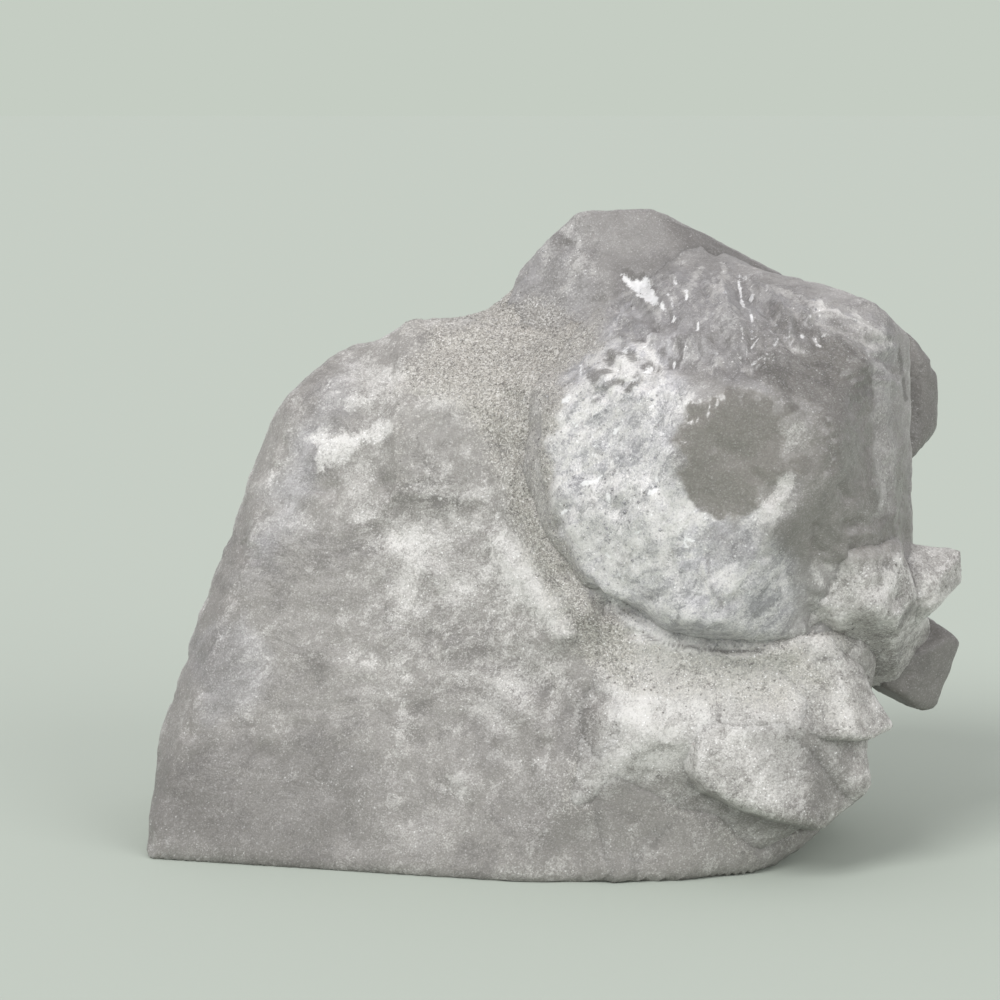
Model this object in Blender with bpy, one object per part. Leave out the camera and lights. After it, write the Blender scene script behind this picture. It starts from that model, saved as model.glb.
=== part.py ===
"""
Cluster of grown-together quartz crystals, cut flat underneath, as one solid.

Every crystal is a block cut by its own flat faces.  A face is given by three numbers:
    turn      which way it looks, in degrees: 0 front (-Y), 90 right (+X), 180 back, -90 left
    tilt      how far it looks up, in degrees (negative: down)
    distance  from the crystal's centre to the face, in millimetres
The small things that grow on the crystals (sandy crust, plates, tips) are joined to them, and
pits and the clear hollow of the front crystal are cut in.  Lengths are in millimetres until MM.
"""
import math
import random

import bmesh
import bpy
from mathutils import Matrix, Vector, noise

MM = 0.001

# ---------------------------------------------------------------- driving dimensions (mm, degrees)
NAME = "quartz_cluster"
BLOCK_SIZE = 400.0          # rough block that each crystal is cut from
RHOMB_TILT = 38.2           # quartz: the faces that end a six-sided crystal look up this much
MINOR_END_SETBACK = 0.22    # the three small end faces stand this share of the radius farther out
FUSE_DEPTH = 0.8            # how deep a plate reaches below the face it grew on
PLATE_CORNERS = 6           # corners of a plate's outline
SEED = 11

# the big crystals: centre, then each face as (turn, tilt, distance)
CRYSTALS = {
    "left crystal": {
        "centre": (-18, 4, 46),
        "faces": {
            "broad front": (-13, 15, 22.5),
            "front by the ridge": (3, 13, 29),
            "foot": (-5, 2, 36.5),
            "right foot": (30, 3, 51.5),
            "left bevel": (-58, 21, 39.5),
            "left side": (-97, 17, 43),
            "left shoulder": (-97, 19, 42.5),
            "left foot": (-90, 6, 51),
            "upper left": (-102, 35, 45),
            "left crest": (-106, 47, 47),
            "crest": (-174, 71, 45.5),
            "upper bevel": (-22, 52, 39),
            "upper front": (-12, 44, 35.5),
            "back left": (-150, 18, 37),
            "back": (172, 14, 21),
            "upper back": (150, 44, 34),
            "right back": (120, 6, 52),
            "right slope": (70, 60, 58),
            "right side": (90, 10, 58),
        },
    },
    "front crystal": {
        "centre": (36, -12, 76),
        "faces": {
            "window": (4, 4, 33.5),
            "bright face": (-40, 12, 34.5),
            "upper left": (-26, 46, 31.5),
            "upper right": (20, 42, 30.5),
            "right face": (56, 4, 27.5),
            "right side": (92, 1, 28),
            "lower front": (-6, -5, 34),
            "lower left": (-38, -16, 38),
            "lower right": (30, -22, 32),
            "right crest": (108, 52, 32),
            "crest": (123, 62, 32),
            "top": (0, 76, 28.5),
            "left crest": (-84, 45, 30.5),
            "left side": (-97, 2, 34),
            "lower left side": (-95, -16, 34),
            "left underside": (-87, -28, 36),
            "left overhang": (-70, -51, 38.5),
            "overhang": (-34, -66, 38),
            "right overhang": (6, -69, 38),
            "back": (172, 14, 28),
            "upper back": (140, 30, 38),
            "left back": (-150, 20, 32),
            "right back": (134, -4, 34),
            "back root": (176, -38, 31),
        },
    },
    "top crystal": {
        "centre": (22, 14, 102),
        "faces": {
            "front": (-4, 34, 14.5),
            "dark slope": (34, 40, 14),
            "left end": (-101, 23, 23.5),
            "left facet": (-62, 26, 24),
            "left front facet": (-30, 20, 19),
            "left crest": (-107, 45, 21),
            "crest": (-170, 72, 13.5),
            "right crest": (121, 60, 11),
            "back": (176, 16, 13),
            "upper back": (150, 44, 15),
            "left back": (-140, 10, 20),
            "right end": (90, 0, 32),
            "root": (0, -60, 20),
            "back root": (166, -34, 15),
            "left root": (-100, -20, 26),
            "front root": (0, -10, 16),
        },
    },
    "saddle of crust": {
        "centre": (0, 10, 84),
        "faces": {
            "left crest": (-118, 57, 19.5),
            "crest": (-116, 59, 19.5),
            "right crest": (-113, 54, 20),
            "upper front": (-16, 46, 14),
            "upper right front": (8, 50, 19.5),
            "front": (-4, 16, 16),
            "right front": (24, 20, 21),
            "back": (166, 28, 17),
            "left back": (-152, 16, 20),
            "right end": (90, 20, 20),
            "left end": (-90, 0, 24),
            "root": (0, -70, 20),
        },
    },
    "back right crystal": {
        "centre": (57, 11, 80),
        "faces": {
            "right side": (89, 1, 16),
            "crest": (100, 43, 16),
            "top": (171, 66, 12),
            "lower side": (81, -39, 15),
            "underside": (79, -55, 14),
            "front": (-10, 8, 9),
            "front bevel": (44, 4, 16),
            "back": (160, 10, 14),
            "upper back": (130, 30, 17),
            "back underside": (140, -34, 14),
            "root": (-90, 0, 16),
        },
    },
    "side block": {
        "centre": (51, -22, 48),
        "faces": {
            "front": (2, 14, 17),
            "right front": (46, 12, 15),
            "right underside": (60, -22, 13),
            "left front": (-30, 0, 12.5),
            "top": (-36, 84, 12.5),
            "underside": (0, -50, 8.5),
            "right side": (85, 22, 14),
            "right back": (140, 16, 16),
            "back": (180, 0, 22),
            "root": (-90, 0, 24),
        },
    },
    "upper side tip": {
        "centre": (60, -16, 54),
        "faces": {
            "front": (-4, 10, 10),
            "upper front": (10, 52, 7),
            "top": (168, 70, 3),
            "right end": (90, 9, 13.5),
            "underside": (78, -48, 11.5),
            "right front": (50, -2, 13.5),
            "lower front": (0, -40, 12),
            "upper back": (160, 50, 9),
            "back": (180, 0, 10),
            "root": (-90, 0, 16),
        },
    },
    "lower side tip": {
        "centre": (58, -5, 37),
        "faces": {
            "front": (-2, 4, 11.5),
            "right front": (38, -10, 14.5),
            "top": (105, 48, 11.5),
            "right end": (85, -20, 16),
            "underside": (36, -84, 11.5),
            "left underside": (-81, -46, 3.5),
            "root underside": (-71, -58, 5),
            "upper front": (0, 60, 6.5),
            "back": (152, 12, 12),
            "back underside": (150, -40, 12),
            "root": (-90, 0, 24),
        },
    },
    "small side tip": {
        "centre": (47, -26, 32),
        "faces": {
            "front": (-6, 14, 10),
            "right front": (40, 20, 10.5),
            "top": (97, 32, 9),
            "right end": (90, 1, 13),
            "lower right": (65, -63, 10.5),
            "underside": (-11, -74, 8),
            "upper left": (109, 59, 7.5),
            "back": (180, 0, 10),
            "root": (-90, 0, 20),
        },
    },
    "lower right plate": {
        "centre": (32, -14, 20),
        "faces": {
            "front": (6, 8, 25.5),
            "right front": (38, 6, 26.5),
            "right side": (89, -5, 24),
            "lower right": (72, -47, 22),
            "lower left edge": (-50, -60, 12),
            "lower edge": (-41, -69, 11.5),
            "left edge": (-68, -31, 13.5),
            "upper front": (-8, 46, 23),
            "left front": (-60, 12, 19),
            "upper right": (100, 24, 28),
            "back": (160, 0, 30),
            "root": (-90, 0, 30),
        },
    },
    "right foot": {
        "centre": (16, -2, 14),
        "faces": {
            "front": (16, 0, 30),
            "right front": (42, -4, 33.5),
            "right underside": (75, -56, 27.5),
            "right side": (90, -4, 40),
            "right back": (146, 5, 34),
            "back": (176, 5, 30),
            "root": (-60, 0, 22),
            "top": (0, 60, 30),
        },
    },
    "sandy ledge": {
        "centre": (22, -12, 40),
        "faces": {
            "front": (-2, 26, 18.5),
            "left front": (-44, 18, 18.5),
            "underside": (0, -24, 29.5),
            "right front": (36, 14, 30.5),
            "right side": (92, -1, 36),
            "right underside": (94, -57, 38),
            "right shoulder": (90, 10, 30),
            "right back": (128, 8, 40),
            "back": (180, 6, 36),
            "root": (-90, 0, 28),
            "top": (0, 80, 24),
        },
    },
}

# thin plates on a face: crystal, face, place on it (across, up), half width, half height, height, turned by
PLATES = (
    # growth layers and ridges of the left crystal
    ("left crystal", "broad front", (-22, 16), 14.0, 13.0, 0.9, 14),
    ("left crystal", "broad front", (-16, 24), 9.0, 4.0, 1.8, 18),
    ("left crystal", "broad front", (6, -22), 17.0, 13.0, 0.8, -10),
    ("left crystal", "broad front", (16, 3), 13.0, 2.8, 1.6, -52),
    ("left crystal", "broad front", (-2, 3), 8.0, 6.5, 1.0, -20),
    ("left crystal", "upper bevel", (-16, 21), 7.5, 3.5, 1.2, 10),
    ("left crystal", "back", (-24, 8), 7.0, 10.0, 1.6, 24),
    ("left crystal", "back left", (-3, -12), 9.0, 13.0, 1.4, -14),
    ("left crystal", "left side", (2, -14), 9.0, 12.0, 1.0, 16),
    # chips beside the clear window of the front crystal, and layers on its other faces
    ("front crystal", "window", (2, 3), 2.4, 3.6, 1.0, -24),
    ("front crystal", "window", (-1, -7), 2.2, 3.8, 1.0, -18),
    ("front crystal", "bright face", (-4, -12), 7.5, 5.5, 0.9, 20),
    ("front crystal", "upper left", (-3, -2), 7.0, 5.0, 1.1, -30),
    ("front crystal", "right face", (2, 4), 8.0, 11.0, 0.8, 12),
    ("front crystal", "back", (4, 4), 12.0, 9.0, 1.6, -18),
    ("lower right plate", "front", (-5, -2), 7.5, 4.2, 1.0, 6),
    ("sandy ledge", "front", (9, -12), 8.0, 3.0, 1.2, -4),
)

# hollows cut into a face: crystal, face, place on it, half width, half height, depth
HOLLOWS = (
    ("front crystal", "window", (-8, 1), 9.5, 9.0, 1.0),
    ("front crystal", "bright face", (-4, 6), 1.6, 2.4, 1.3),
    ("front crystal", "bright face", (-8, 4), 1.3, 1.9, 1.1),
    ("front crystal", "bright face", (-6, 10), 2.0, 1.3, 1.2),
    ("front crystal", "upper left", (-6, -12), 1.5, 2.2, 1.2),
    ("front crystal", "upper left", (3, 2), 2.2, 1.4, 1.1),
    ("front crystal", "bright face", (3, -5), 1.7, 1.3, 0.9),
    ("top crystal", "front", (3, 2), 1.6, 1.2, 0.9),
    ("left crystal", "broad front", (-24, -25), 2.4, 1.6, 1.0),
    ("left crystal", "broad front", (3, 14), 2.2, 1.7, 1.0),
    ("left crystal", "back left", (4, 14), 3.2, 2.4, 1.5),
)

# six-sided crystals: where they grow from, radius, length, leaning right by, leaning back by, spin
TIPS = (
    # broken tips between the front and the top crystal
    ((17, -2, 101), 4.4, 9.0, -22, -8, 10),
    ((24, -9, 100), 4.8, 9.5, 4, -30, 34),
    ((30, -14, 99), 4.6, 9.0, -12, -38, 5),
    ((36, -16, 99), 4.0, 8.5, 14, -34, 22),
    ((28, -3, 103), 3.4, 6.5, 24, -14, 48),
    ((43, -20, 97), 4.2, 8.0, 22, -30, 15),
    ((8, 2, 98), 3.4, 6.5, -34, -12, 40),
    ((3, 3, 97), 2.8, 5.5, -26, -20, 12),
    # small tips on the right, round the side block
    ((51, -26, 42), 3.0, 7.5, 20, -62, 18),
    ((57, -22, 43), 3.2, 7.5, 62, -40, 44),
    ((44, -29, 41), 2.8, 6.5, -20, -58, 30),
    ((47, -31, 37), 3.0, 6.8, 28, -72, 8),
    ((49, -31, 33), 2.6, 6.0, 44, -66, 52),
    ((54, -32, 52), 3.2, 7.6, 28, -58, 25),
    ((47, -30, 55), 3.0, 7.0, -18, -44, 12),
    ((52, -31, 57), 2.6, 6.0, 10, -30, 50),
    ((62, -20, 52), 2.8, 6.5, 58, -34, 6),
    ((46, -29, 48), 2.4, 5.5, -34, -66, 36),
    # the bundle of crystals that makes the back
    ((-46, 16, 8), 15.0, 46.0, -9, 16, 12),
    ((-22, 22, 14), 17.0, 56.0, -3, 14, 38),
    ((6, 22, 10), 16.0, 50.0, 4, 19, 5),
    ((30, 16, 12), 14.0, 42.0, 12, 22, 50),
    ((22, 18, 58), 14.0, 34.0, 3, 15, 20),
    ((40, 8, 50), 11.0, 27.0, 24, 34, 32),
    ((-6, 22, 66), 9.0, 24.0, -12, 30, 8),
    ((-34, 26, 30), 8.0, 22.0, -20, 52, 44),
    ((10, 31, 34), 7.0, 18.0, 10, 62, 28),
    ((44, 20, 24), 7.5, 18.0, 44, 40, 14),
    ((28, 30, 70), 5.5, 13.0, 26, 58, 36),
)

# the sandy crust fills the crevice between the left and the front crystal and runs on along the
# ledge below; each stretch is start, end, number of lumps, radius, sideways spread
CRUST = (
    ((-36, 6, 87), (-15, 5, 90), 4, 5.2, 1.6),
    ((-15, 5, 90), (4, 6, 94), 5, 6.4, 2.0),
    ((3, -1, 93), (1, -10, 84), 4, 5.6, 1.4),
    ((1, -10, 84), (-1, -14, 70), 5, 5.8, 1.4),
    ((-1, -14, 70), (4, -20, 54), 5, 5.4, 1.3),
    ((4, -20, 54), (12, -25, 43), 4, 4.8, 1.2),
    ((14, -26, 41), (42, -29, 40), 7, 4.6, 1.2),
    ((-12, -5, 84), (-7, -12, 68), 5, 4.6, 3.5),
    ((14, -29, 34), (38, -32, 32), 6, 3.4, 2.0),
    ((-2, 20, 92), (34, 22, 86), 5, 6.0, 3.0),
    ((-40, 22, 44), (-26, 34, 12), 4, 5.4, 3.0),
    ((22, 34, 46), (30, 30, 14), 4, 5.4, 3.0),
)
LUMP_ROUGHNESS = 0.32       # share of a lump's radius that its surface rises or falls


# ---------------------------------------------------------------- directions and places
def face_normal(turn, tilt):
    """Unit vector out of a face, from its turn and tilt in degrees."""
    a, b = math.radians(turn), math.radians(tilt)
    return Vector((math.sin(a) * math.cos(b), -math.cos(a) * math.cos(b), math.sin(b)))


def face_frame(crystal, face):
    """Middle of a crystal's face and its across, up and outward directions."""
    turn, tilt, distance = CRYSTALS[crystal]["faces"][face]
    outward = face_normal(turn, tilt)
    across = Vector((math.cos(math.radians(turn)), math.sin(math.radians(turn)), 0.0))
    middle = Vector(CRYSTALS[crystal]["centre"]) + outward * distance
    return middle, across, outward.cross(across), outward


def frame_matrix(place, across, up, outward):
    """Matrix that carries a shape's X, Y and Z to the three directions and its origin to place."""
    turned = Matrix((across, up, outward)).transposed().to_4x4()
    return Matrix.Translation(place) @ turned


# ---------------------------------------------------------------- shapes
def add_object(name, mesh_builder, collection, hidden=True):
    """New object from a bmesh in millimetres, written in metres; operands of Booleans are hidden."""
    bmesh.ops.recalc_face_normals(mesh_builder, faces=mesh_builder.faces)
    bmesh.ops.scale(mesh_builder, vec=(MM, MM, MM), verts=mesh_builder.verts)
    mesh = bpy.data.meshes.new(name)
    mesh_builder.to_mesh(mesh)
    mesh_builder.free()
    obj = bpy.data.objects.new(name, mesh)
    collection.objects.link(obj)
    if hidden:
        obj.hide_render = True
        obj.display_type = 'WIRE'
    return obj


def cut_off(mesh_builder, point, outward):
    """Cut away what lies outside a plane and close the cut with one flat face."""
    everything = mesh_builder.verts[:] + mesh_builder.edges[:] + mesh_builder.faces[:]
    result = bmesh.ops.bisect_plane(mesh_builder, geom=everything, plane_co=point,
                                    plane_no=outward, clear_outer=True)
    rim = [item for item in result["geom_cut"] if isinstance(item, bmesh.types.BMEdge)]
    if rim:
        bmesh.ops.contextual_create(mesh_builder, geom=rim)


def crystal_block(centre, faces):
    """Block cut by a crystal's faces; it runs on below the ground, where the cluster is cut flat."""
    block = bmesh.new()
    bmesh.ops.create_cube(block, size=BLOCK_SIZE, matrix=Matrix.Translation(centre))
    for turn, tilt, distance in faces.values():
        outward = face_normal(turn, tilt)
        cut_off(block, Vector(centre) + outward * distance, outward)
    return block


def hexagonal_tip(radius, length):
    """Six-sided quartz crystal along +Z, ended by three large and three small faces."""
    tip = bmesh.new()
    bmesh.ops.create_cone(tip, cap_ends=True, segments=6, radius1=radius, radius2=radius * 0.9,
                          depth=length * 2, matrix=Matrix.Translation((0, 0, 0)))
    for side in range(6):
        outward = face_normal(30 + 60 * side, RHOMB_TILT)
        setback = MINOR_END_SETBACK * radius * (side % 2)
        reach = length * math.sin(math.radians(RHOMB_TILT)) + setback
        cut_off(tip, outward * reach, outward)
    return tip


def rough_lump(radius, offset):
    """Ball whose points rise and fall with noise, so that it reads as a crumb of crust."""
    lump = bmesh.new()
    bmesh.ops.create_icosphere(lump, subdivisions=2, radius=radius)
    for vertex in lump.verts:
        rise = noise.noise(vertex.co * (1.4 / radius) + Vector(offset))
        vertex.co *= 1.0 + LUMP_ROUGHNESS * 2 * rise
    return lump


def thin_plate(half_width, half_height, height, draw):
    """Plate with an uneven outline of few corners and sloping sides, lying on the XY plane."""
    plate = bmesh.new()
    bmesh.ops.create_cone(plate, cap_ends=True, segments=PLATE_CORNERS, radius1=1.0, radius2=0.72,
                          depth=height + FUSE_DEPTH)
    reach = [draw.uniform(0.7, 1.25) for _ in range(PLATE_CORNERS)]
    for vertex in plate.verts:
        corner = round(math.atan2(vertex.co.y, vertex.co.x) / math.tau * PLATE_CORNERS * 2)
        stretch = reach[corner // 2 % PLATE_CORNERS]
        vertex.co.x *= half_width * stretch
        vertex.co.y *= half_height * stretch
        vertex.co.z += (height - FUSE_DEPTH) / 2
    return plate


# ---------------------------------------------------------------- what grows on the crystals
def build_plates(collection, draw):
    for number, (crystal, face, (right, rise), half_width, half_height, height, spin) in enumerate(PLATES):
        middle, across, up, outward = face_frame(crystal, face)
        plate = thin_plate(half_width, half_height, height, draw)
        place = middle + across * right + up * rise
        turned = frame_matrix(place, across, up, outward) @ Matrix.Rotation(math.radians(spin), 4, 'Z')
        plate.transform(turned)
        add_object(f"plate {number}", plate, collection)


def build_tips(collection):
    for number, (root, radius, length, right, back, spin) in enumerate(TIPS):
        tip = hexagonal_tip(radius, length)
        lean = Matrix.Rotation(math.radians(right), 4, 'Y') @ Matrix.Rotation(math.radians(-back), 4, 'X')
        tip.transform(Matrix.Translation(root) @ lean @ Matrix.Rotation(math.radians(spin), 4, 'Z'))
        add_object(f"tip {number}", tip, collection)


def build_crust(collection, draw):
    for number, (start, end, count, radius, spread) in enumerate(CRUST):
        for step in range(count):
            along = (step + draw.uniform(0.1, 0.9)) / count
            sideways = Vector(draw.uniform(-spread, spread) for _ in range(3))
            place = Vector(start).lerp(Vector(end), along) + sideways
            lump = rough_lump(radius * draw.uniform(0.65, 1.15), (number * 5.1, step * 3.7, 0.5))
            lump.transform(Matrix.Translation(place))
            add_object(f"lump {number}.{step}", lump, collection)


def build_hollows(collection):
    for number, (crystal, face, (right, rise), half_width, half_height, depth) in enumerate(HOLLOWS):
        middle, across, up, outward = face_frame(crystal, face)
        hollow = bmesh.new()
        bmesh.ops.create_icosphere(hollow, subdivisions=2, radius=1.0)
        bmesh.ops.scale(hollow, vec=(half_width, half_height, depth), verts=hollow.verts)
        hollow.transform(frame_matrix(middle + across * right + up * rise, across, up, outward))
        add_object(f"hollow {number}", hollow, collection)


def build_ground(collection):
    """Everything below the ground is cut away, which leaves the flat base."""
    ground = bmesh.new()
    bmesh.ops.create_cube(ground, size=BLOCK_SIZE * 2, matrix=Matrix.Translation((0, 0, -BLOCK_SIZE)))
    add_object("ground", ground, collection)


def quartz_material():
    """Pale grey quartz, frosted and partly clear."""
    material = bpy.data.materials.new("frosted quartz")
    material.use_nodes = True
    shader = material.node_tree.nodes["Principled BSDF"]
    shader.inputs["Base Color"].default_value = (0.46, 0.44, 0.42, 1.0)
    shader.inputs["Roughness"].default_value = 0.38
    shader.inputs["Metallic"].default_value = 0.0
    shader.inputs["IOR"].default_value = 1.544
    shader.inputs["Transmission Weight"].default_value = 0.35
    return material


def join_all(body, growths, hollows):
    """Union of everything that grew together, then the hollows are cut out of it."""
    union = body.modifiers.new("grown together", 'BOOLEAN')
    union.operation = 'UNION'
    union.solver = 'EXACT'
    union.operand_type = 'COLLECTION'
    union.collection = growths
    cut = body.modifiers.new("hollows", 'BOOLEAN')
    cut.operation = 'DIFFERENCE'
    cut.solver = 'EXACT'
    cut.operand_type = 'COLLECTION'
    cut.collection = hollows


def main():
    for obj in list(bpy.data.objects):
        bpy.data.objects.remove(obj)
    scene_root = bpy.context.scene.collection
    parts, growths, hollows = (bpy.data.collections.new(n) for n in (NAME, "growths", "hollows"))
    for collection in (parts, growths, hollows):
        scene_root.children.link(collection)
    draw = random.Random(SEED)

    crystals = dict(CRYSTALS)
    first = crystals.pop("left crystal")
    body = add_object(NAME, crystal_block(first["centre"], first["faces"]), parts, hidden=False)
    for name, crystal in crystals.items():
        add_object(name, crystal_block(crystal["centre"], crystal["faces"]), growths)
    build_plates(growths, draw)
    build_tips(growths)
    build_crust(growths, draw)
    build_hollows(hollows)
    build_ground(hollows)
    join_all(body, growths, hollows)
    body.data.materials.append(quartz_material())


main()
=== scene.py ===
import math

import bpy
import numpy as np
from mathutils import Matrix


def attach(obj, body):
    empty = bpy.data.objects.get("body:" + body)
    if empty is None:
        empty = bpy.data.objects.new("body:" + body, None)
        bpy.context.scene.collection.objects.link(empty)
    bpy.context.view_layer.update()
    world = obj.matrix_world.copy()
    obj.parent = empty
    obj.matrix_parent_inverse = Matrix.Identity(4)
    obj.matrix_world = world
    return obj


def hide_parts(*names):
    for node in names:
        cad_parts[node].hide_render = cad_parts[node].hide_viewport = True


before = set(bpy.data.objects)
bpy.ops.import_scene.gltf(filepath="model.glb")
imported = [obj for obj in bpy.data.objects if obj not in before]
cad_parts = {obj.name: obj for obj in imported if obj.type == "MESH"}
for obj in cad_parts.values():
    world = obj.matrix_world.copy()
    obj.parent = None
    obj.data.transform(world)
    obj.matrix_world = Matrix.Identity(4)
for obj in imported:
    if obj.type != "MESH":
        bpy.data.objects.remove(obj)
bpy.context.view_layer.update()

# All shapes are worked out in millimetres and written in metres.
# X is right, Y is back, Z is up; the cluster stands on z = 0.
mm = 0.001
clusterNode = "quartz_cluster"


# A lattice of random arrows, repeated every latticeSide cells, from which all noise is made.
latticeSide = 48
noiseGain = 1.7         # brings soft noise to about -1 to 1
layerShift = 7.3        # moves each layer of a cloud to another part of the lattice
latticeDraw = np.random.default_rng(5)
latticeArrows = latticeDraw.normal(size=(3, latticeSide, latticeSide, latticeSide))
latticeArrows /= np.linalg.norm(latticeArrows, axis=0)
latticeTurn = np.linalg.qr(np.array([[3.0, 1.0, 2.0], [-1.0, 4.0, 1.0], [2.0, -2.0, 5.0]]))[0]


def softNoise(points, size, shift=0.0):
    # An arrow stands at each corner of a cubic lattice. A point takes the dot products of its cell's eight
    # arrows with its offsets from their corners, blended by 6t^5 - 15t^4 + 10t^3: about -1 to 1.
    placed = (points @ latticeTurn / size + shift).T
    cell = np.floor(placed).astype(int)
    inside = placed - cell
    blend = inside**3 * (inside * (inside * 6 - 15) + 10)
    both = np.stack([1 - blend, blend])
    total = np.zeros(len(points))
    for i, j, k in np.ndindex(2, 2, 2):
        spot = (cell[0] + i) % latticeSide, (cell[1] + j) % latticeSide, (cell[2] + k) % latticeSide
        a, b, c = latticeArrows[:, *spot]
        dot = a * (inside[0] - i) + b * (inside[1] - j) + c * (inside[2] - k)
        total += both[i, 0] * both[j, 1] * both[k, 2] * dot
    return total * noiseGain


def cloudNoise(points, size, layers=4, shift=0.0):
    # Sum of soft noise, each layer half as large and half as high as the one before.
    total = np.zeros(len(points))
    for layer in range(layers):
        total += softNoise(points, size / 2**layer, shift + layerShift * layer) / 2**layer
    return total


def ease(low, high, value):
    # 0 below low, 1 above high, and 3t^2 - 2t^3 between them.
    t = np.clip((value - low) / (high - low), 0, 1)
    return t * t * (3 - 2 * t)


def unit(vectors):
    # Each vector divided by its length.
    return vectors / np.linalg.norm(vectors, axis=1, keepdims=True)


def ballGrid(n):
    # A square grid is bent to a disc, and the disc to the front half of a ball; the back half is the same
    # grid mirrored, and the two share their rim. Returns directions and four-cornered faces.
    u, v = np.meshgrid(np.linspace(-1, 1, n + 1), np.linspace(-1, 1, n + 1))
    wide = np.abs(u) > np.abs(v)
    safeU, safeV = np.where(u == 0, 1, u), np.where(v == 0, 1, v)
    angle = np.where(wide, math.pi / 4 * v / safeU, math.pi / 2 - math.pi / 4 * u / safeV)
    radius = np.where(wide, u, v)
    polar = np.abs(radius) * math.pi / 2
    side = np.sign(radius) * np.sin(polar)
    front = np.stack([side * np.cos(angle), -np.cos(polar), side * np.sin(angle)], axis=-1)
    back = front[1:-1, 1:-1] * (1, -1, 1)
    frontIndex = np.arange((n + 1)**2).reshape(n + 1, n + 1)
    backIndex = frontIndex.copy()
    backIndex[1:-1, 1:-1] = (n + 1)**2 + np.arange((n - 1)**2).reshape(n - 1, n - 1)
    directions = unit(np.concatenate([front.reshape(-1, 3), back.reshape(-1, 3)]))
    return directions, np.concatenate([gridFaces(frontIndex), gridFaces(backIndex)[:, ::-1]])


def gridFaces(index):
    # Each cell of a grid of point numbers is a face with four corners.
    corners = (index[:-1, :-1], index[:-1, 1:], index[1:, 1:], index[1:, :-1])
    return np.stack(corners, axis=-1).reshape(-1, 4)


def newPiece(name, points, faces, material, marks=None, smooth=True):
    # The arrays go into a mesh, with one float attribute for each mark, and the piece rides on the cluster.
    mesh = bpy.data.meshes.new(name)
    corners = faces.shape[1]
    mesh.vertices.add(len(points))
    mesh.vertices.foreach_set("co", (points * mm).astype(np.float32).ravel())
    mesh.loops.add(faces.size)
    mesh.loops.foreach_set("vertex_index", faces.astype(np.int32).ravel())
    mesh.polygons.add(len(faces))
    mesh.polygons.foreach_set("loop_start", np.arange(0, faces.size, corners, dtype=np.int32))
    mesh.polygons.foreach_set("use_smooth", np.full(len(faces), smooth))
    for mark, values in (marks or {}).items():
        layer = mesh.attributes.new(mark, "FLOAT", "POINT")
        layer.data.foreach_set("value", np.asarray(values, dtype=np.float32))
    mesh.update(calc_edges=True)
    mesh.validate()
    mesh.materials.append(material)
    piece = bpy.data.objects.new(name, mesh)
    bpy.context.scene.collection.objects.link(piece)
    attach(piece, "root")
    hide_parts(clusterNode)
    print(f"{name}: {len(faces) * (corners - 2)} triangles")
    return piece


def faceDirections(turn, tilt):
    # Turn 0 looks to the front, 90 to the right, 180 to the back; tilt is how far the face looks up.
    a, b = np.radians(turn), np.radians(tilt)
    return np.stack([np.sin(a) * np.cos(b), -np.cos(a) * np.cos(b), np.sin(b)], axis=-1)


def crystalPlanes(crystal):
    # Outward directions and distances of a crystal's faces, the ground among them.
    turn, tilt, away = np.array([face[:3] for face in crystal["faces"].values()], dtype=float).T
    centre = np.array(crystal["centre"], dtype=float)
    outward = np.vstack([faceDirections(turn, tilt), [(0, 0, -1)]])
    return centre, outward, np.append(away, centre[2])


edgeSharpness = {"scale": 0.9, "least": 6, "most": 400}


def reachOf(directions, outward, away, rounding):
    # Along a direction each face is met at away / (direction . outward). The nearest one counts, and the
    # p-norm of their closeness rounds the edges between them, with p = scale x distance / rounding.
    closeness = np.maximum(directions @ outward.T, 1e-6) / away
    nearest = closeness.max(axis=1, keepdims=True)
    limits = edgeSharpness["least"], edgeSharpness["most"]
    sharpness = np.clip(edgeSharpness["scale"] / (nearest * rounding), *limits)
    share = (closeness / nearest)**sharpness
    total = share.sum(axis=1, keepdims=True)
    return (1 / nearest[:, 0]) / total[:, 0]**(1 / sharpness[:, 0]), share / total


def wrapFaces(centre, directions, outward, away, rounding):
    # Where each direction from the centre meets the rounded faces: points, normals and the faces' shares.
    directions = unit(directions)
    reach, share = reachOf(directions, outward, away, rounding)
    return centre + directions * reach[:, None], unit(share @ outward), share


eggGrid = {"cells": 24, "rounding": 0.5, "offset": 0.8}


def crystalSurface(crystal):
    # Directions are spread over an egg as wide, deep and high as the crystal, so that the grid is even.
    centre, outward, away = crystalPlanes(crystal)
    rough = ballGrid(eggGrid["cells"])[0]
    found = rough * reachOf(rough, outward, away, eggGrid["rounding"])[0][:, None]
    middle, half = (found.max(0) + found.min(0)) / 2, (found.max(0) - found.min(0)) / 2
    ball, faces = ballGrid(crystal["cells"])
    directions = middle * eggGrid["offset"] + half * ball
    return *wrapFaces(centre, directions, outward, away, crystal["rounding"]), faces


def nearPath(points, facing, path, reach):
    # The points within reach of a line through the given (x, z) stops, seen from the front: their
    # numbers, their distances from it, and how far along it their nearest places are, from 0 to 1.
    stops, flat = np.array(path, dtype=float), points[:, [0, 2]]
    around = (flat > stops.min(axis=0) - reach) & (flat < stops.max(axis=0) + reach)
    near = np.flatnonzero(around.all(axis=1) & (facing > 0))
    flat = flat[near]
    lengths = np.linalg.norm(np.diff(stops, axis=0), axis=1)
    best, along = np.full(len(near), 1e9), np.zeros(len(near))
    for step, (start, end) in enumerate(zip(stops[:-1], stops[1:])):
        t = np.clip((flat - start) @ (end - start) / lengths[step]**2, 0, 1)
        gap = np.linalg.norm(flat - start - t[:, None] * (end - start), axis=1)
        closer = gap < best
        best = np.where(closer, gap, best)
        along = np.where(closer, (lengths[:step].sum() + t * lengths[step]) / lengths.sum(), along)
    kept = best < reach
    return near[kept], best[kept], along[kept]


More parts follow.
